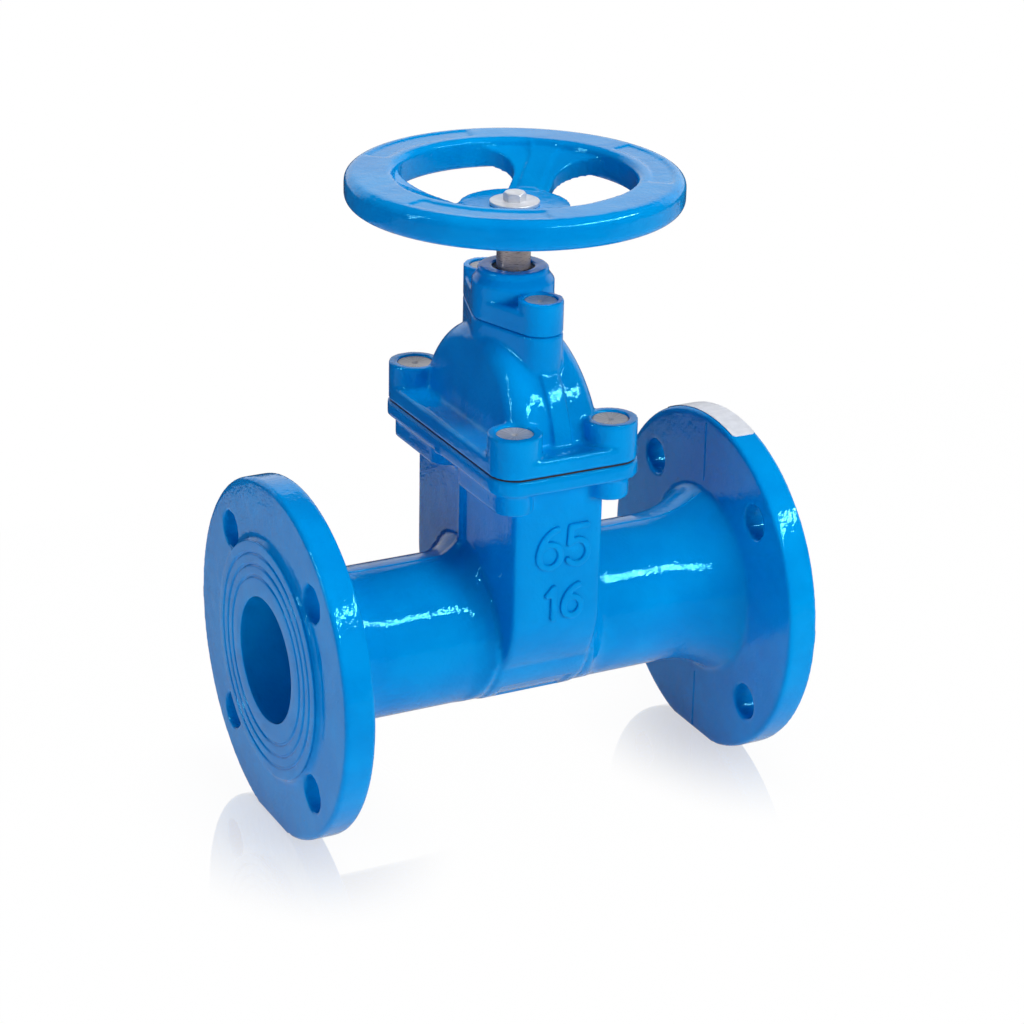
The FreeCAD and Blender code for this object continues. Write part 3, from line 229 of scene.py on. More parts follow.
def rgb(red, green, blue):
    return (red, green, blue, 1.0)


print("shader helpers ready")

# %% [markdown]
# ## The table
#
# The photograph shows the valve on white, with its faint mirror image below each flange. So the
# valve stands on a white table, polished near the flanges' feet and duller away from them. Its
# front half also shows as the paler lower half of the pipe, and it ends a little behind the
# valve, which the flange's face mirrors. The camera sees it plain white, mirrors and glass see it
# a little over half as bright, and for other rays it is a matt white, so that it keeps a shadow.

# %% Build the table
TABLE_SIDES = ((-1.6, 1.6), (-0.95, 0.42))
MATT_WHITE, PURE_WHITE = rgb(0.95, 0.95, 0.95), rgb(1, 1, 1)
GLOW_NEAR, GLOW_FAR = 0.94, 0.995
TABLE_MIRROR, MIRRORED_WHITE = 0.36, 0.55
TABLE_ROUGHNESS = 0.03
POLISH_NEAR, POLISH_FAR, POLISH_NARROWS = 0.01, 0.125, 1.5


def white_to_the_eye(finish):
    """Two masks: 1 for rays from the camera, and 1 for rays from a mirror or through glass."""
    seen = finish.node("ShaderNodeLightPath", output="Is Camera Ray")
    mirrored = finish.node("ShaderNodeLightPath", output="Is Glossy Ray")
    through = finish.node("ShaderNodeLightPath", output="Is Transmission Ray")
    return seen, mirrored.or_else(through)


def table_finish():
    finish = Finish("studio_table")
    seen, mirrored = white_to_the_eye(finish)
    point = finish.place()
    along = finish.node("ShaderNodeSeparateXYZ", {}, {"Vector": point}, output="X")
    across = finish.node("ShaderNodeSeparateXYZ", {}, {"Vector": point}, output="Y")
    along = (along.math("ABSOLUTE", along) - (HALF_LENGTH + FLANGE_BACK) / 2) * POLISH_NARROWS
    squares = along * along + across * across
    from_foot = squares.math("SQRT", squares)
    matt = finish.node("ShaderNodeBsdfDiffuse", {}, {"Color": MATT_WHITE})
    glow = finish.node("ShaderNodeEmission", {},
                       {"Color": PURE_WHITE, "Strength": seen.or_else(MIRRORED_WHITE)})
    share = seen.or_else(mirrored) * from_foot.ramp(POLISH_NEAR, POLISH_FAR, GLOW_NEAR, GLOW_FAR)
    white = finish.node("ShaderNodeMixShader", {}, {0: share, 1: matt, 2: glow})
    gloss = finish.node("ShaderNodeBsdfGlossy", {}, {"Color": PURE_WHITE, "Roughness": TABLE_ROUGHNESS})
    polish = seen * from_foot.ramp(POLISH_NEAR, POLISH_FAR, TABLE_MIRROR, 0.0)
    both = finish.node("ShaderNodeMixShader", {}, {0: polish, 1: white, 2: gloss})
    finish.node("ShaderNodeOutputMaterial", {}, {"Surface": both})
    return finish.material


def build_table():
    (left, right), (front, rear) = TABLE_SIDES
    corners = [(left, front, 0), (right, front, 0), (right, rear, 0), (left, rear, 0)]
    mesh = bpy.data.meshes.new("table")
    mesh.from_pydata(corners, [], [(0, 1, 2, 3)])
    mesh.materials.append(table_finish())
    table = bpy.data.objects.new("table", mesh)
    bpy.context.scene.collection.objects.link(table)


build_table()
print("table", [round(end - start, 2) for start, end in TABLE_SIDES], "m")

# %% [markdown]
# ## The room
#
# Glossy paint is only as good as what it mirrors. Behind the valve stands a white backdrop, which
# lightens every level face, and the rest of the room is dark, which keeps the blue deep. The sky
# does both: it is white to the camera all round, and mirrors see it by direction.

# %% Paint the room
BEHIND = Vector((-math.sin(CAMERA_AZIMUTH), math.cos(CAMERA_AZIMUTH), 0))
BACKDROP_EDGES, BACKDROP_FOOT = (0.45, 0.6), (-0.08, 0.0)
BACKDROP_TOP, BACKDROP_FADE = 0.58, 0.06
ROOM_DARK, ROOM_FILL = 0.03, 0.12
FILL_COLOR = rgb(0.45, 0.55, 1.0)


def paint_room():
    world = bpy.data.worlds.new("studio")
    bpy.context.scene.world = world
    sky = Finish("studio", world)
    direction = sky.node("ShaderNodeTexCoord", output="Generated")
    facing = sky.node("ShaderNodeVectorMath", {"operation": "DOT_PRODUCT"},
                      {0: direction, 1: BEHIND}, output="Value")
    height = sky.node("ShaderNodeSeparateXYZ", {}, {"Vector": direction}, output="Z")
    backdrop = facing.ramp(*BACKDROP_EDGES) * height.ramp(*BACKDROP_FOOT)
    backdrop = backdrop * height.ramp(BACKDROP_TOP, BACKDROP_TOP - BACKDROP_FADE)
    seen, mirrored = white_to_the_eye(sky)
    shown = mirrored * (backdrop * (1 - ROOM_DARK) + ROOM_DARK) + (1 - mirrored) * ROOM_FILL
    tint = sky.mix(seen.or_else(mirrored), FILL_COLOR, PURE_WHITE)
    light = sky.node("ShaderNodeBackground", {}, {"Color": tint, "Strength": seen.or_else(shown)})
    sky.node("ShaderNodeOutputWorld", {}, {"Surface": light})


paint_room()
print("room painted, backdrop up to", round(math.degrees(math.asin(BACKDROP_TOP))), "degrees")

# %% [markdown]
# ## The lamps
#
# A thin bright line runs along the pipe and over the hub: the mirror image of a strip light in
# front, to the right and above. A second strip, upright and to the left, lines the edges there.
# The paint mirrors these two, and they light nothing. The broad soft lamps do all the lighting
# and are hidden from mirror rays, as a photographer keeps them out of the reflections with flags.
# The left one is cool, because the shaded sides are a deeper blue.

# %% Hang the lamps
WHITE_LIGHT, COOL_LIGHT = (1.0, 1.0, 1.0), (0.75, 0.78, 1.0)
LAMPS = [
    # name, place, size along its two sides, power, colour, whether the paint mirrors it
    ("strip", (0.62, -1.0, 1.16), (1.7, 0.05), 32.0, WHITE_LIGHT, True),
    ("edge", (-1.45, 0.15, 0.75), (0.07, 1.1), 8.0, WHITE_LIGHT, True),
    ("front", (0.7, -1.85, 0.8), (1.5, 1.1), 29.5, WHITE_LIGHT, False),
    ("left", (-0.75, -0.25, 0.32), (0.5, 0.4), 1.6, COOL_LIGHT, False),
    ("above", (0.1, 0.05, 1.9), (0.6, 0.6), 18.0, WHITE_LIGHT, False),
]
LAMP_TARGET = Vector((0, 0, 0.13))


def hang_lamp(name, place, sides, power, color, mirrored):
    lamp = bpy.data.lights.new(name, "AREA")
    lamp.shape = "RECTANGLE"
    lamp.size, lamp.size_y = sides
    lamp.energy, lamp.color = power, color
    holder = bpy.data.objects.new(name, lamp)
    holder.location = place
    holder.rotation_euler = (Vector(place) - LAMP_TARGET).to_track_quat("Z", "Y").to_euler()
    holder.visible_glossy = mirrored
    holder.visible_diffuse = not mirrored
    bpy.context.scene.collection.objects.link(holder)


for lamp in LAMPS:
    hang_lamp(*lamp)
bpy.context.scene.view_settings.view_transform = "Standard"
print(len(LAMPS), "lamps")

# %% [markdown]
# ## Blue epoxy
#
# The castings are coated with epoxy powder, which melts into a thick glossy skin. It has a fine
# orange peel, long soft waves that ran down before it set, and here and there a pinhole, whose
# shade is painted in as a deeper blue. Otherwise colour varies very little, so the bump does the
# work: the noises are added before one Bump node.

# %% Mix the epoxy
DEEP_BLUE, BRIGHT_BLUE = rgb(0.0, 0.265, 0.68), rgb(0.0, 0.32, 0.76)
# The pinholes' deep blue is painted shade, standing for the dark inside each pit.
PINHOLE_SHADE_BLUE, PAINT_SHEEN = rgb(0.0, 0.03, 0.14), rgb(0.1, 0.8, 1.0)
PAINT_IOR = 1.41
CLOUD_SIZE, GLOSS_SIZE = 35 * MM, 20 * MM
PEEL_SIZE, WAVE_SIZE, RUN_SIZE = 1.8 * MM, 11 * MM, 3.5 * MM
PINHOLE_SPACING, PINHOLE_RADIUS = 17 * MM, 0.45 * MM
COAT_BUMP = 0.3 * MM


def epoxy(name):
    finish = Finish(name)
    clouds = finish.noise(CLOUD_SIZE, detail=3.0)
    pits_and_shade = finish.dots(PINHOLE_SPACING, PINHOLE_RADIUS)
    color = finish.mix(clouds.ramp(0.3, 0.7), DEEP_BLUE, BRIGHT_BLUE)
    # Painted shade: each pinhole is coloured a deeper blue, as the shade inside the pit. The same mask also
    # dents the bump.
    color = finish.mix(pits_and_shade * 0.8, color, PINHOLE_SHADE_BLUE)
    peel = finish.noise(PEEL_SIZE, detail=1.0)
    waves = finish.noise(WAVE_SIZE, detail=1.0)
    runs = finish.noise(RUN_SIZE, detail=1.0, stretch=(1, 1, 0.16))
    height = peel * 0.42 + waves + runs * 0.2 - pits_and_shade * 0.5
    gloss = finish.noise(GLOSS_SIZE, detail=4.0).ramp(0.35, 0.75, 0.03, 0.08)
    return finish.surface(Base_Color=color, Roughness=gloss, IOR=PAINT_IOR, Specular_Tint=PAINT_SHEEN,
                          Normal=finish.bump(height, COAT_BUMP))


blue = epoxy("blue_epoxy")
print("epoxy mixed, its peel", round(PEEL_SIZE / MM, 1), "mm across")

# %% [markdown]
# ## Metals, rubber and plastic
#
# The stem is browned steel with fine turning rings, the caps and the wheel's bolt are plain or
# zinc-plated metal, and rubber shows only as the dark seam of the gasket and the wiper ring.

# %% Mix the other finishes
GRAIN_SIZE = 4 * MM
METAL_BUMP, DULL_BUMP = 0.06 * MM, 0.08 * MM


def metal(name, dark, light, rough, stretch=(1, 1, 12), shine=1.0):
    """Metal with a fine grain, which shows as turning rings where it is squeezed along Z."""
    finish = Finish(name)
    grain = finish.noise(GRAIN_SIZE, detail=5.0, stretch=stretch)
    color = finish.mix(grain.ramp(0.3, 0.7), dark, light)
    return finish.surface(Base_Color=color, Metallic=shine, Roughness=grain * 0.18 + rough,
                          Normal=finish.bump(grain, METAL_BUMP))


def dull(name, dark, light, rough, lump=3 * MM):
    finish = Finish(name)
    grain = finish.noise(lump, detail=4.0)
    color = finish.mix(grain.ramp(0.3, 0.7), dark, light)
    return finish.surface(Base_Color=color, Roughness=grain * 0.15 + rough,
                          Normal=finish.bump(grain, DULL_BUMP))


def spun_with_painted_glints(name, dark, light, rough):
    """Metal with light and dark streaks painted from the middle of its piece to the rim, as painted
    highlights of the radial kind that a turned face reflects. Its roughness varies along them too.
    """
    finish = Finish(name)
    flat = finish.place((1, 1, 0))
    ray = finish.node("ShaderNodeVectorMath", {"operation": "NORMALIZE"}, {0: flat})
    # Painted highlights: the streaks lighten and darken the colour in rays from the middle of the piece.
    glint_streaks = finish.node("ShaderNodeTexNoise", {}, {"Vector": ray, "Scale": 7.0, "Detail": 4.0})
    color = finish.mix(glint_streaks.ramp(0.35, 0.65), dark, light)
    return finish.surface(Base_Color=color, Metallic=0.3, Roughness=glint_streaks * 0.2 + rough)


steel = metal("stem_steel", rgb(0.36, 0.3, 0.265), rgb(0.5, 0.43, 0.385), 0.2, shine=0.5)
zinc = metal("zinc_plate", rgb(0.78, 0.79, 0.8), rgb(0.9, 0.91, 0.92), 0.28, (1, 1, 1), 0.35)
cap_metal = spun_with_painted_glints("cap_metal", rgb(0.4, 0.38, 0.36), rgb(0.6, 0.57, 0.54), 0.3)
screw_steel = metal("screw_steel", rgb(0.2, 0.2, 0.21), rgb(0.34, 0.34, 0.35), 0.35, (1, 1, 1))
bronze = metal("bronze", rgb(0.42, 0.24, 0.08), rgb(0.62, 0.4, 0.16), 0.28, (1, 1, 6))
rubber = dull("rubber", rgb(0.006, 0.006, 0.007), rgb(0.018, 0.018, 0.02), 0.55)
iron = dull("gate_iron", rgb(0.06, 0.058, 0.055), rgb(0.12, 0.115, 0.11), 0.6)
shoe_plastic = dull("shoe_plastic", rgb(0.68, 0.66, 0.6), rgb(0.8, 0.78, 0.72), 0.4)
foil = dull("plate_foil", rgb(0.74, 0.75, 0.76), rgb(0.84, 0.85, 0.86), 0.3, 4 * MM)
NODE_FINISHES = {
    screw_steel: ["bonnet_screws", "gland_screws"],
    bronze: ["gland_bush", "upper_thrust_washer", "lower_thrust_washer", "stem_nut"],
    rubber: ["bonnet_gasket", "gland_ring", "bush_rings", "stem_rings", "wiper_ring", "gate_rubber"],
    iron: ["gate_iron"],
    shoe_plastic: ["gate_guides"],
    steel: ["stem"],
    zinc: ["handwheel_bolt", "handwheel_washer"],
    cap_metal: ["bonnet_screw_caps", "gland_screw_caps"],
    blue: ["body", "bonnet", "gland", "handwheel"],
}
for finish, names in NODE_FINISHES.items():
    for name in names:
        frame["nodes"][name].data.materials.clear()
        frame["nodes"][name].data.materials.append(finish)
print(sum(len(names) for names in NODE_FINISHES.values()), "nodes have a finish")

# %% [markdown]
# ## Tools for small turned pieces
#
# Caps, bolt, washer, joint faces and stem come off a lathe. `turned` spins an outline about Z, and
# `softened` first rounds its corners, because a sharp edge on metal catches no light. A hexagon
# or a thread is the same lathe work with a radius that depends on the angle.

# %% Shape pieces on a lathe
SAME_POINT = 0.002 * MM


def softened(outline, radius):
    """Rounds each corner of an outline of (radius, height) points, but not its ends."""
    points = [Vector(point) for point in outline]
    made = [points[0]]
    for before, corner, after in zip(points, points[1:], points[2:]):
        reach = min(radius, (before - corner).length * 0.45, (after - corner).length * 0.45)
        start = corner + (before - corner).normalized() * reach
        end = corner + (after - corner).normalized() * reach
        for share in (0, 0.25, 0.5, 0.75, 1):
            made.append(start.lerp(corner, share).lerp(corner.lerp(end, share), share))
    return [tuple(point) for point in made + [points[-1]]]


def new_piece(name, points, faces, finish, crease=35):
    """A piece from points and faces, with doubled points joined and its faces turned outwards."""
    mesh = bpy.data.meshes.new(name)
    mesh.from_pydata([tuple(point) for point in points], [], faces)
    work = bmesh.new()
    work.from_mesh(mesh)
    bmesh.ops.remove_doubles(work, verts=work.verts, dist=SAME_POINT)
    bmesh.ops.recalc_face_normals(work, faces=work.faces)
    work.to_mesh(mesh)
    work.free()
    mesh.shade_smooth()
    mesh.set_sharp_from_angle(angle=math.radians(crease))
    mesh.materials.append(finish)
    piece = bpy.data.objects.new(name, mesh)
    bpy.context.scene.collection.objects.link(piece)
    return piece


def tube_faces(rings, steps, closed=False):
    """The faces between rings of points. Closed joins the last ring to the first as well."""
    return [(ring * steps + step, ring * steps + (step + 1) % steps,
             (ring + 1) % rings * steps + (step + 1) % steps, (ring + 1) % rings * steps + step)
            for ring in range(rings if closed else rings - 1) for step in range(steps)]


def turned(name, outline, finish, steps=72, reach=None, closed=False, crease=35):
    """Spins an outline about Z.

    A closed outline makes a ring, and an open one starts and ends on the axis.
    """
    flat = np.array(outline, float)
    turn = np.broadcast_to(np.linspace(0, 2 * np.pi, steps, endpoint=False), (len(flat), steps))
    radius, height = flat[:, :1] + 0 * turn, flat[:, 1:] + 0 * turn
    if reach:
        radius = reach(radius, height, turn)
    points = np.stack([radius * np.cos(turn), radius * np.sin(turn), height], axis=-1).reshape(-1, 3)
    return new_piece(name, points, tube_faces(len(flat), steps, closed), finish, crease)


def fit(piece, body, slot, *nodes):
    """Gives a finished piece its body and hides the nodes of the frame that it stands for. The slot is not
    used.
    """
    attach(piece, body)
    if nodes:
        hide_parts(*nodes)
    return piece


print("lathe ready")

# %% [markdown]
# ## Joint faces
#
# A gasket seals on the raised face of each flange, so soft ring grooves are turned into it. The
# melted casting below would lose them, and so each face is a thin turned ring of its own, laid
# over the casting, which is planed back a little there.

# %% Turn the joint faces
GROOVE_RADII = [43 * MM, 49 * MM, 55 * MM]
GROOVE_HALF, GROOVE_DEPTH = 0.95 * MM, 0.75 * MM
FACE_OVERLAP, GROOVE_EDGE = 0.05 * MM, 0.55 * MM
LIP_LENGTH, LIP_WIDTH = 4 * MM, 3 * MM


def joint_face(name, side):
    """A grooved ring that laps a little into the bore and over the raised face's rim."""
    inner, outer = BORE_RADIUS - FACE_OVERLAP, RAISED_FACE_RADIUS + FACE_OVERLAP
    outline = [(inner + LIP_WIDTH, -LIP_LENGTH), (inner, -LIP_LENGTH), (inner, 0)]
    for radius in GROOVE_RADII:
        outline += [(radius - GROOVE_HALF, 0), (radius - GROOVE_HALF * 0.4, -GROOVE_DEPTH),
                    (radius + GROOVE_HALF * 0.4, -GROOVE_DEPTH), (radius + GROOVE_HALF, 0)]
    outline += [(outer, 0), (outer, -RAISED_FACE_STEP), (outer - LIP_WIDTH, -RAISED_FACE_STEP)]
    piece = turned(name, softened(outline, GROOVE_EDGE), blue, 128, closed=True, crease=60)
    piece.data.transform(Matrix.Rotation(math.radians(90 * side), 4, "Y"))
    piece.data.transform(Matrix.Translation((side * HALF_LENGTH, 0, AXIS)))
    return fit(piece, "valve_body", "blue_epoxy")


for name, side in (("inlet_joint_face", -1), ("outlet_joint_face", 1)):
    print(joint_face(name, side).name, "with", len(GROOVE_RADII), "grooves")

# %% [markdown]
# ## Caps, bolt and washer
#
# Pressed metal caps close the recesses over the screw heads: a dished disc with a dimple. Each
# one is its own piece with its own zero, because the painted highlight streaks of its finish run
# from its middle.
# The wheel's bolt is a hexagon whose top is turned down to a cone, as on any bolt.

# %% Press the caps
def cap_outline(radius, foot, top):
    return softened([
        (0, top - 1.3 * MM), (0.09 * radius, top - 1.2 * MM), (0.2 * radius, top - 0.55 * MM),
        (0.86 * radius, top - 0.15 * MM), (0.93 * radius, top), (radius, top - 0.2 * MM), (radius, foot),
        (0, foot)], 0.35 * MM)


def press_caps(node, radius, sides):
    low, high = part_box(node)
    for number, (across, along) in enumerate(sides):
        height = (high[2] - low[2]) / 2
        piece = turned(f"{node}_{number + 1}", cap_outline(radius, -height, height), cap_metal, 64)
        piece.location = (across * (high[0] - radius), along * (high[1] - radius), low[2] + height)
        fit(piece, "valve_body", "cap_plastic", node)
    print(node, len(sides))


CORNERS = [(across, along) for across in (-1, 1) for along in (-1, 1)]
press_caps("bonnet_screw_caps", 9.15 * MM, CORNERS)
press_caps("gland_screw_caps", 8.15 * MM, [(0, -1), (0, 1)])

# %% Turn the bolt and the washer
BOLT_FLATS, BOLT_CONE = 10 * MM, 0.9 * MM
WASHER_HOLE, WASHER_EDGE = 3.4 * MM, 0.5 * MM


def hexagon(radius, height, turn):
    """Cuts a round bar down to six flats."""
    off_flat = (turn + np.pi / 6) % (np.pi / 3) - np.pi / 6
    return np.minimum(radius, BOLT_FLATS / 2 / np.cos(off_flat))


def bolt_and_washer():
    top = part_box("handwheel_bolt")[1][2]
    washer_low, washer_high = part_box("handwheel_washer")
    foot, seat, outer = washer_low[2], washer_high[2], washer_high[0]
    corner = BOLT_FLATS / 2 / math.cos(math.pi / 6)
    cone = [(corner - share * BOLT_CONE, top - (1 - share) * BOLT_CONE) for share in np.linspace(0, 1, 7)]
    head = [(0, seat), (corner, seat), *cone, (0, top)]
    bolt = turned("handwheel_bolt_head", head, zinc, 96, hexagon, crease=25)
    outline = [(WASHER_HOLE, foot), (outer, foot), (outer, seat), (WASHER_HOLE, seat)]
    washer = turned("handwheel_washer_turned", softened(outline, WASHER_EDGE), zinc, 96, closed=True)
    fit(bolt, "spindle", "zinc_steel", "handwheel_bolt")
    fit(washer, "spindle", "zinc_steel", "handwheel_washer")
    print("bolt head", round((top - seat) / MM, 2), "mm high, washer", round(2 * outer / MM, 1), "mm across")


bolt_and_washer()

# %% [markdown]
# ## The stem
#
# Only its plain part shows, between gland and wheel, but below it carry on the collar that takes
# the thrust and the trapezoid thread of 4 mm pitch that lifts the gate. A helix is a height that
# grows with the angle, so the thread's radius is worked out from both.

# %% Turn the stem
THREAD_PITCH, THREAD_DEPTH, RINGS_PER_TURN = 4 * MM, 2 * MM, 14
PLAIN_RADIUS, THREAD_RADIUS, COLLAR_RADIUS = 8.5 * MM, 10 * MM, 13.5 * MM
SQUARE, SQUARE_LENGTH = 13 * MM, 16.7 * MM
COLLAR_PLAY, COLLAR_EDGE = 0.3 * MM, 0.4 * MM
THREAD_RUN_OUT, FOOT_EDGE = 8 * MM, 1.5 * MM
HAIR = 0.05 * MM


def turn_stem():
    low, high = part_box("stem")
    collar_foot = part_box("lower_thrust_washer")[1][2] + COLLAR_PLAY
    collar_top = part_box("upper_thrust_washer")[0][2] - COLLAR_PLAY
    square_foot = high[2] - SQUARE_LENGTH
    thread_top = collar_foot - THREAD_RUN_OUT

    def reach(radius, height, turn):
        crest = np.abs((height / THREAD_PITCH - turn / (2 * np.pi)) % 1 - 0.5) * 2
        groove = THREAD_DEPTH * np.clip((crest - 0.35) * 3.3, 0, 1)
        in_thread = (height < thread_top) & (radius > THREAD_RADIUS - 0.01 * MM)
        off_flat = (turn + np.pi / 4) % (np.pi / 2) - np.pi / 4
        flats = np.where(height > square_foot, SQUARE / 2 / np.cos(off_flat), 1.0)
        return np.minimum(np.where(in_thread, radius - groove, radius), flats)

    levels = np.arange(low[2] + FOOT_EDGE, thread_top, THREAD_PITCH / RINGS_PER_TURN)
    threads = [(THREAD_RADIUS, height) for height in levels]
    outline = [(0, low[2]), (THREAD_RADIUS - FOOT_EDGE, low[2]), *threads, (THREAD_RADIUS, thread_top),
               (THREAD_RADIUS, collar_foot), (COLLAR_RADIUS - COLLAR_EDGE, collar_foot),
               (COLLAR_RADIUS, collar_foot + COLLAR_EDGE), (COLLAR_RADIUS, collar_top - COLLAR_EDGE),
               (COLLAR_RADIUS - COLLAR_EDGE, collar_top), (PLAIN_RADIUS, collar_top),
               (PLAIN_RADIUS, square_foot), (PLAIN_RADIUS, square_foot + HAIR),
               (PLAIN_RADIUS, high[2]), (0, high[2])]
    stem = turned("stem_turned", outline, steel, 64, reach, crease=30)
    fit(stem, "spindle", "dark_steel", "stem")
    print("stem", len(threads), "rings of thread,", len(stem.data.polygons), "faces")


turn_stem()

# %% [markdown]
# ## From sharp solid to casting
#
# A casting has no sharp edge, and the coat rounds it once more. Rounding every edge of a solid by
# hand is long and fails where many faces meet. A voxel remesh does it in one go: it turns a copy
# of the solid into a fine even net. Then inner corners are filled up, as molten iron and paint
# do, by moving only the points that lie in a hollow, and a smoothing pass melts the outer edges.

# %% Copy a node as one closed skin
def copy_of_node(name):
    mesh = frame["nodes"][name].data.copy()
    work = bmesh.new()
    work.from_mesh(mesh)
    bmesh.ops.remove_doubles(work, verts=work.verts, dist=0.01 * MM)
    work.to_mesh(mesh)
    work.free()
    piece = bpy.data.objects.new(name + "_casting", mesh)
    bpy.context.scene.collection.objects.link(piece)
    return piece


def bake_modifiers(piece):
    """Applies the piece's modifiers to its mesh."""
    evaluated = piece.evaluated_get(bpy.context.evaluated_depsgraph_get())
    mesh = bpy.data.meshes.new_from_object(evaluated)
    piece.modifiers.clear()
    old, piece.data = piece.data, mesh
    bpy.data.meshes.remove(old)


def join(piece, parts):
    """Adds the meshes of other pieces to this one, and removes them."""
    work = bmesh.new()
    work.from_mesh(piece.data)
    for part in parts:
        work.from_mesh(part.data)
        bpy.data.objects.remove(part)
    work.to_mesh(piece.data)
    work.free()


print("casting helpers ready")

# %% Melt it
def read_points(mesh):
    points = np.empty(len(mesh.vertices) * 3)
    mesh.vertices.foreach_get("co", points)
    return points.reshape(-1, 3)


def write_points(mesh, points):
    mesh.vertices.foreach_set("co", points.ravel())
    mesh.update()


def fill_hollows(mesh, rounds, least=0.035 * MM):
    """Moves points outwards to the middle of their neighbours, where that is further than least."""
    ends = np.empty(len(mesh.edges) * 2, np.int64)
    mesh.edges.foreach_get("vertices", ends)
    first, second = ends.reshape(-1, 2).T
    points = read_points(mesh)
    share = 0.5 / np.bincount(ends, minlength=len(points))[:, None]
    for number in range(rounds):
        if number % 4 == 0:
            write_points(mesh, points)
            normals = np.empty(points.size)
            mesh.vertex_normals.foreach_get("vector", normals)
            normals = normals.reshape(-1, 3)
        gaps = points[second] - points[first]
        pull = np.stack([np.bincount(first, gap, len(points)) - np.bincount(second, gap, len(points))
                         for gap in gaps.T], axis=1) * share
        outward = (pull * normals).sum(axis=1)
        points += pull * (outward > least)[:, None]
    write_points(mesh, points)


def melt(piece, voxel, fill, rounds):
    remesh = piece.modifiers.new("net", "REMESH")
    remesh.mode = "VOXEL"
    remesh.voxel_size = voxel
    bake_modifiers(piece)
    fill_hollows(piece.data, fill)
    smooth = piece.modifiers.new("melt", "SMOOTH")
    smooth.factor = 0.5
    smooth.iterations = rounds
    bake_modifiers(piece)
    piece.data.shade_smooth()
    return piece


def casting(name, body, slot, voxel, fill, rounds, parts=()):
    """Stands a melted copy in for a node of the frame, with added parts melted on."""
    piece = copy_of_node(name)
    join(piece, parts)
    melt(piece, voxel, fill, rounds)
    piece.data.materials.clear()
    piece.data.materials.append(blue)
    fit(piece, body, slot, name)
    print(piece.name, len(piece.data.polygons), "faces")
    return piece


print("melting ready")

# %% [markdown]
# ## Parting ridges
#
# Where the two halves of a sand mould met, a casting keeps a thin ridge. Here it runs along the
# pipe, up the flanges and, as a thick rounded bead, up both sides of the gate chamber. A ray is
# cast at the solid for each point of the ridge, so that it follows flares and corners by itself.

# %% Trace ridges on the body
def surface_of(name):
    node = frame["nodes"][name]
    points = [node.matrix_world @ vertex.co for vertex in node.data.vertices]
    return BVHTree.FromPolygons(points, [tuple(face.vertices) for face in node.data.polygons])


def ridge(name, surface, starts, aim, width, height, sink=0.6 * MM, steps=8):
    """A half-round strip along the points where rays from the starts meet the surface."""
    aim = Vector(aim)
    hits = [surface.ray_cast(Vector(start), aim)[0] for start in starts]
    hits = [hit for hit in hits if hit]
    across = (hits[-1] - hits[0]).cross(aim).normalized()
    points = []
    for hit in hits:
        for angle in np.linspace(0, math.pi, steps):
            rise = math.sin(angle) * (height + sink) - sink
            points.append(hit + across * math.cos(angle) * width / 2 - aim * rise)
    ends = [tuple(range(steps)), tuple(range(len(points) - steps, len(points)))]
    return new_piece(name, points, tube_faces(len(hits), steps) + ends, blue)


def line(start, end, count):
    return [Vector(start).lerp(Vector(end), share) for share in np.linspace(0, 1, count)]


body_surface = surface_of("body")
CHAMBER_SIDE = 27 * MM
RIDGE_HEIGHT, PIPE_RIDGE_WIDTH, FLANGE_RIDGE_WIDTH = 0.5 * MM, 1.5 * MM, 1.6 * MM
OUTSIDE_THE_PIPE, BEFORE_THE_FLANGE = 78 * MM, 8 * MM
FLANGE_RIDGE_FOOT, FLANGE_RIDGE_TIP = 56 * MM, 88 * MM
for side, end in ((-1, "inlet"), (1, "outlet")):
    inner, outer = side * (CHAMBER_SIDE + 2 * MM), side * (FLANGE_BACK - 1 * MM)
    before = outer - side * BEFORE_THE_FLANGE
    for up, level in ((1, "upper"), (-1, "lower")):
        far = AXIS + up * OUTSIDE_THE_PIPE
        path = line((inner, 0, far), (outer, 0, far), 60)
        along = ridge(f"{end}_{level}_pipe_ridge", body_surface, path, (0, 0, -up),
                      PIPE_RIDGE_WIDTH, RIDGE_HEIGHT)
        path = line((before, 0, AXIS + up * FLANGE_RIDGE_FOOT), (before, 0, AXIS + up * FLANGE_RIDGE_TIP), 24)
        upward = ridge(f"{end}_{level}_flange_ridge", body_surface, path, (side, 0, 0),
                       FLANGE_RIDGE_WIDTH, RIDGE_HEIGHT)
        for piece in (along, upward):
            fit(piece, "valve_body", "blue_epoxy")
print("ridges on pipe and flanges")

# %% [markdown]
# ## Numbers on the panel
#
# The flat panel in front is where such a casting has room for its size. Plain numbers stand there:
# the pipe's bore in millimetres over the pressure class in bar. A digit is drawn with a few
# straight and curved strokes, pressed out as a row of small discs and melted together.

# %% Draw the digits
def arc(middle, radii, start, end, count=14):
    return [(middle[0] + radii[0] * math.cos(angle), middle[1] + radii[1] * math.sin(angle))
            for angle in np.radians(np.linspace(start, end, count))]


DIGITS = {
    # the width of a digit and its strokes, both in parts of its height
    "1": (0.34, [[(0.0, 0.76), (0.2, 0.97), (0.2, 0.0)]]),
    "5": (0.58, [[(0.52, 0.97), (0.1, 0.97), (0.07, 0.54)] + arc((0.27, 0.31), (0.29, 0.31), 125, -145, 20)]),
    "6": (0.6, [arc((0.29, 0.3), (0.29, 0.3), 0, 360, 26), arc((0.62, 0.3), (0.62, 0.68), 180, 102)]),
}
print("digits drawn:", *DIGITS)

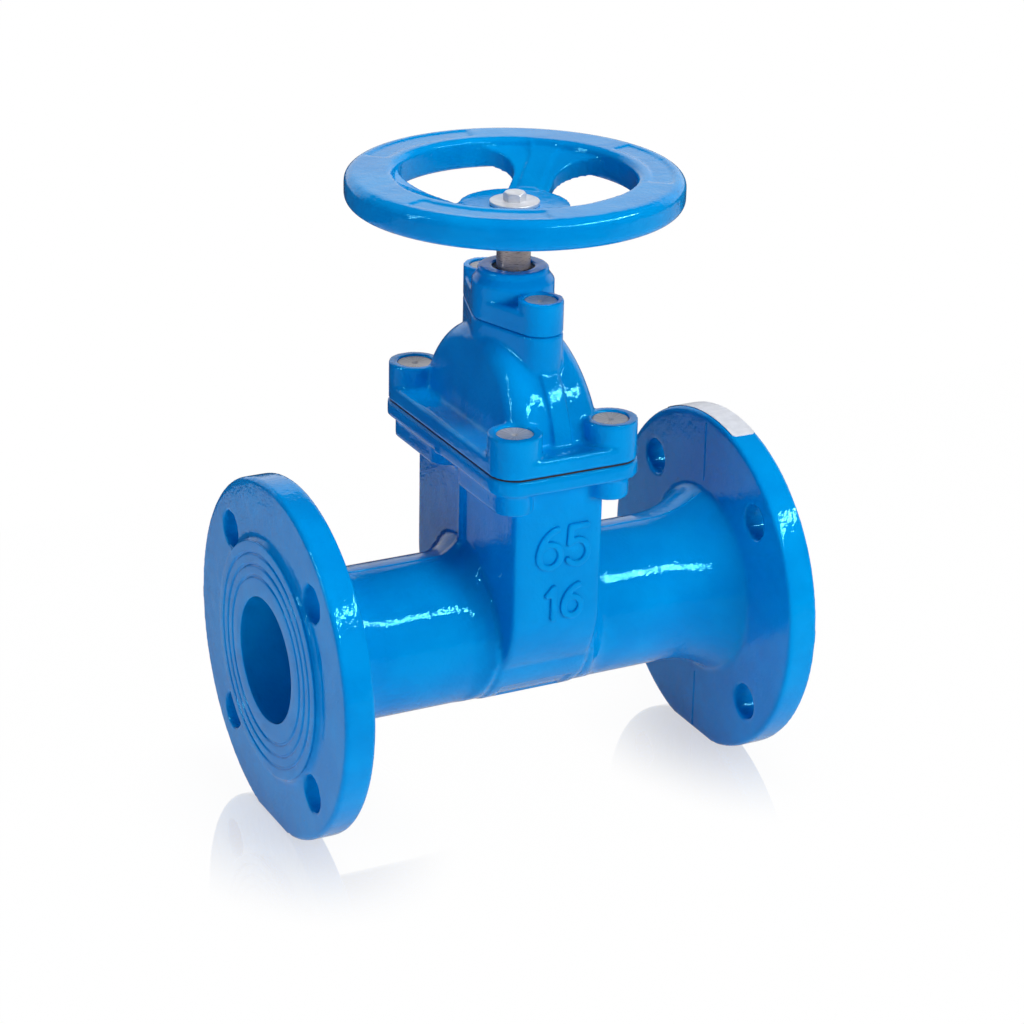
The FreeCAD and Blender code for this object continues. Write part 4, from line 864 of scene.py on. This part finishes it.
# %% Press them out of the panel
PANEL_FACE = body_surface.ray_cast(Vector((0, -0.2, AXIS + 60 * MM)), Vector((0, 1, 0)))[0][1]
DIGIT_GAP, STROKE_WIDTH = 3.2 * MM, 3.4 * MM
DIGIT_RISE, DIGIT_ROOT = 1.5 * MM, 1.2 * MM
DISC_SPACING, DISC_STEPS = 0.035, 14


def beads(stroke):
    """Points at an even spacing along a stroke."""
    found = []
    for start, end in zip(stroke, stroke[1:]):
        count = max(1, round(math.dist(start, end) / DISC_SPACING))
        start, end = np.array(start), np.array(end)
        found += [tuple(start + (end - start) * step / count) for step in range(count + 1)]
    return found


def relief(text, centre, height):
    """Discs for all digits of a number that is centred on the panel, which faces -Y."""
    width = sum(DIGITS[digit][0] for digit in text) * height + DIGIT_GAP * (len(text) - 1)
    left, discs = centre[0] - width / 2, []
    for digit in text:
        advance, strokes = DIGITS[digit]
        for stroke in strokes:
            for across, up in beads(stroke):
                discs.append((left + across * height, centre[1] + (up - 0.5) * height))
        left += advance * height + DIGIT_GAP
    points, faces = [], []
    for across, up in discs:
        first = len(points)
        for depth in (PANEL_FACE + DIGIT_ROOT, PANEL_FACE - DIGIT_RISE):
            for angle in np.linspace(0, 2 * math.pi, DISC_STEPS, endpoint=False):
                points.append((across + STROKE_WIDTH / 2 * math.cos(angle), depth,
                               up + STROKE_WIDTH / 2 * math.sin(angle)))
        faces += [tuple(first + corner for corner in face) for face in tube_faces(2, DISC_STEPS)]
        faces += [tuple(range(first, first + DISC_STEPS)),
                  tuple(range(first + DISC_STEPS, first + 2 * DISC_STEPS))]
    return points, faces


def panel_number(name, text, centre, height):
    points, faces = relief(text, centre, height)
    mesh = bpy.data.meshes.new(name)
    mesh.from_pydata(points, [], faces)
    mesh.materials.append(blue)
    piece = bpy.data.objects.new(name, mesh)
    bpy.context.scene.collection.objects.link(piece)
    melt(piece, voxel=0.4 * MM, fill=0, rounds=3)
    fit(piece, "valve_body", "blue_epoxy")
    print(name, len(piece.data.polygons), "faces")


panel_number("panel_number_bore", "65", (2.4 * MM, AXIS + 60 * MM), 21 * MM)
panel_number("panel_number_pressure", "16", (3.6 * MM, AXIS + 30 * MM), 17 * MM)

# %% [markdown]
# ## A bare plate on the flange
#
# A thin silvery foil is bent over the rim of the right flange. It is a curved sheet with rounded
# corners, two layers of points that are joined round the edge, and it is left bare.

# %% Bend the foil plate
PLATE_COLUMNS, PLATE_ROWS = 48, 12
PLATE_THICKNESS, PLATE_ROOT, PLATE_CORNER = 0.2 * MM, 0.05 * MM, 1.6 * MM
PLATE_START, PLATE_END = math.radians(61.5), math.radians(106)
PLATE_NEAR, PLATE_FAR = FLANGE_BACK + 1.4 * MM, HALF_LENGTH - RAISED_FACE_STEP - 1.3 * MM


def sheet_faces(rows, columns):
    """The faces of a sheet: two layers of rows times columns points, closed round the edge."""
    layer = rows * columns
    faces = [(start + a * columns + b, start + a * columns + b + 1,
              start + (a + 1) * columns + b + 1, start + (a + 1) * columns + b)
             for start in (0, layer) for a in range(rows - 1) for b in range(columns - 1)]
    rim = [a * columns for a in range(rows)] + [(rows - 1) * columns + b for b in range(1, columns)]
    rim += [a * columns + columns - 1 for a in range(rows - 2, -1, -1)] + list(range(columns - 2, 0, -1))
    return faces + [(a, b, b + layer, a + layer) for a, b in zip(rim, rim[1:] + rim[:1])]


def foil_plate():
    points = []
    for level in (FLANGE_RADIUS - PLATE_ROOT, FLANGE_RADIUS + PLATE_THICKNESS):
        for column in np.linspace(0, 1, PLATE_COLUMNS):
            angle = PLATE_START + (PLATE_END - PLATE_START) * column
            from_end = min(column, 1 - column) * (PLATE_END - PLATE_START) * level
            short = max(0.0, PLATE_CORNER - from_end)
            bite = PLATE_CORNER - math.sqrt(max(0.0, PLATE_CORNER ** 2 - short ** 2))
            for row in np.linspace(PLATE_NEAR + bite, PLATE_FAR - bite, PLATE_ROWS):
                points.append((row, level * math.cos(angle), AXIS + level * math.sin(angle)))
    piece = new_piece("rim_foil_plate", points, sheet_faces(PLATE_COLUMNS, PLATE_ROWS), foil, crease=50)
    return fit(piece, "valve_body", "zinc_steel")


print(foil_plate().name, "bent")

# %% [markdown]
# ## Raised panels on the spokes
#
# Along the middle of each spoke the pattern maker left a broad flat panel, from the hub out to the
# rim, where it widens. Its outline is drawn flat, and each point of it is dropped onto the wheel,
# so the panel follows the dished web. It is melted together with the wheel.

# %% Drape a panel on each spoke
SPOKE_ANGLES = [48.6, 168.6, 288.6]
SPOKE_PANEL_HALF, SPOKE_PANEL_RISE, SPOKE_PANEL_ROOT = 5.6 * MM, 1.0 * MM, 2 * MM
SPOKE_PANEL_START, SPOKE_PANEL_END = 26 * MM, 63 * MM
FLARE_START, FLARE_LENGTH, FLARE_WIDTH = 50 * MM, 13 * MM, 5 * MM
SPOKE_ROWS, SPOKE_COLUMNS = 34, 12
BELOW_THE_RIM = 0.3 * MM


def spoke_panel(surface, angle):
    along = Vector((math.cos(angle), math.sin(angle), 0))
    across = Vector((-along.y, along.x, 0))
    rim_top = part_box("handwheel")[1][2]
    upper, lower = [], []
    for run in np.linspace(SPOKE_PANEL_START, SPOKE_PANEL_END, SPOKE_ROWS):
        half = SPOKE_PANEL_HALF + FLARE_WIDTH * max(0.0, (run - FLARE_START) / FLARE_LENGTH) ** 2
        for side in np.linspace(-half, half, SPOKE_COLUMNS):
            flat = along * run + across * side
            above = Vector((flat.x, flat.y, rim_top + 5 * MM))
            hit = surface.ray_cast(above, Vector((0, 0, -1)))[0]
            top = min(hit.z + SPOKE_PANEL_RISE, rim_top - BELOW_THE_RIM)
            upper.append(Vector((hit.x, hit.y, top)))
            lower.append(hit - Vector((0, 0, SPOKE_PANEL_ROOT)))
    return new_piece("spoke_panel", upper + lower, sheet_faces(SPOKE_ROWS, SPOKE_COLUMNS), blue)


wheel_surface = surface_of("handwheel")
spoke_panels = [spoke_panel(wheel_surface, math.radians(angle)) for angle in SPOKE_ANGLES]
print(len(spoke_panels), "panels draped")

# %% [markdown]
# ## The four blue castings
#
# Body, bonnet, gland and wheel are melted one by one. The body takes the beads of its chamber with
# it, and the wheel its spoke panels. The joint faces of the body are planed back for the turned
# rings that cover them. Seats and guide rails are machined on the real body, so melted iron must not
# stand in the gate's way: where the gate passes, the inner walls are set a little behind the
# solid's surface.

# %% Add the beads, and make room for faces and gate
BEAD_WIDTH, BEAD_HEIGHT, BEAD_ROOT = 6 * MM, 2.6 * MM, 2 * MM
BESIDE_THE_CHAMBER = 70 * MM
BEAD_RUNS = [(38 * MM, 97 * MM, 50), (-38 * MM, -46 * MM, 12)]  # foot, tip, rays along it
FACE_SKIN = 0.9 * MM
GATE_TRAVEL, GATE_MARGIN, NEAR_THE_BORE = 66 * MM, 2.5 * MM, 10 * MM
WALL_SET_BACK = 1.1 * MM


def chamber_beads():
    made = []
    for side in (-1, 1):
        beside = side * BESIDE_THE_CHAMBER
        for foot, tip, count in BEAD_RUNS:
            path = line((beside, 0, AXIS + foot), (beside, 0, AXIS + tip), count)
            made.append(ridge("chamber_bead", body_surface, path, (-side, 0, 0),
                              BEAD_WIDTH, BEAD_HEIGHT, BEAD_ROOT))
    return made


def plane_joint_faces(mesh):
    """Takes the casting back at both ends, where the turned joint faces cover it."""
    points = read_points(mesh)
    points[:, 0] = np.clip(points[:, 0], FACE_SKIN - HALF_LENGTH, HALF_LENGTH - FACE_SKIN)
    write_points(mesh, points)


def clear_the_gate(mesh):
    """Sets the inner walls that the gate passes a little behind the solid's surface.

    A wall is an inner one if it is close to the bore, or if a ray from it meets the body again.
    """
    boxes = [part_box(node) for node in ("gate_rubber", "gate_guides")]
    low = np.min([box[0] for box in boxes], axis=0) - GATE_MARGIN - (0, 0, GATE_TRAVEL)
    high = np.max([box[1] for box in boxes], axis=0) + GATE_MARGIN
    points = read_points(mesh)
    moved = 0
    for index in np.flatnonzero(((points > low) & (points < high)).all(axis=1)):
        place, normal = body_surface.find_nearest(Vector(points[index]))[:2]
        by_the_bore = math.hypot(place.y, place.z - AXIS) < BORE_RADIUS + NEAR_THE_BORE
        if by_the_bore or body_surface.ray_cast(place + normal * 0.1 * MM, normal)[0]:
            points[index] = place - normal * WALL_SET_BACK
            moved += 1
    write_points(mesh, points)
    return moved


print("beads from", [round(foot / MM) for foot, tip, count in BEAD_RUNS], "mm off the axis")

# %% Cast them
body = casting("body", "valve_body", "blue_epoxy", 1.2 * MM, fill=8, rounds=3, parts=chamber_beads())
plane_joint_faces(body.data)
print(clear_the_gate(body.data), "points set back for the gate")
casting("bonnet", "valve_body", "blue_epoxy", 0.9 * MM, fill=60, rounds=3)
casting("gland", "valve_body", "blue_epoxy", 0.7 * MM, fill=6, rounds=2)
casting("handwheel", "spindle", "wheel_blue", 0.9 * MM, fill=10, rounds=3, parts=spoke_panels)
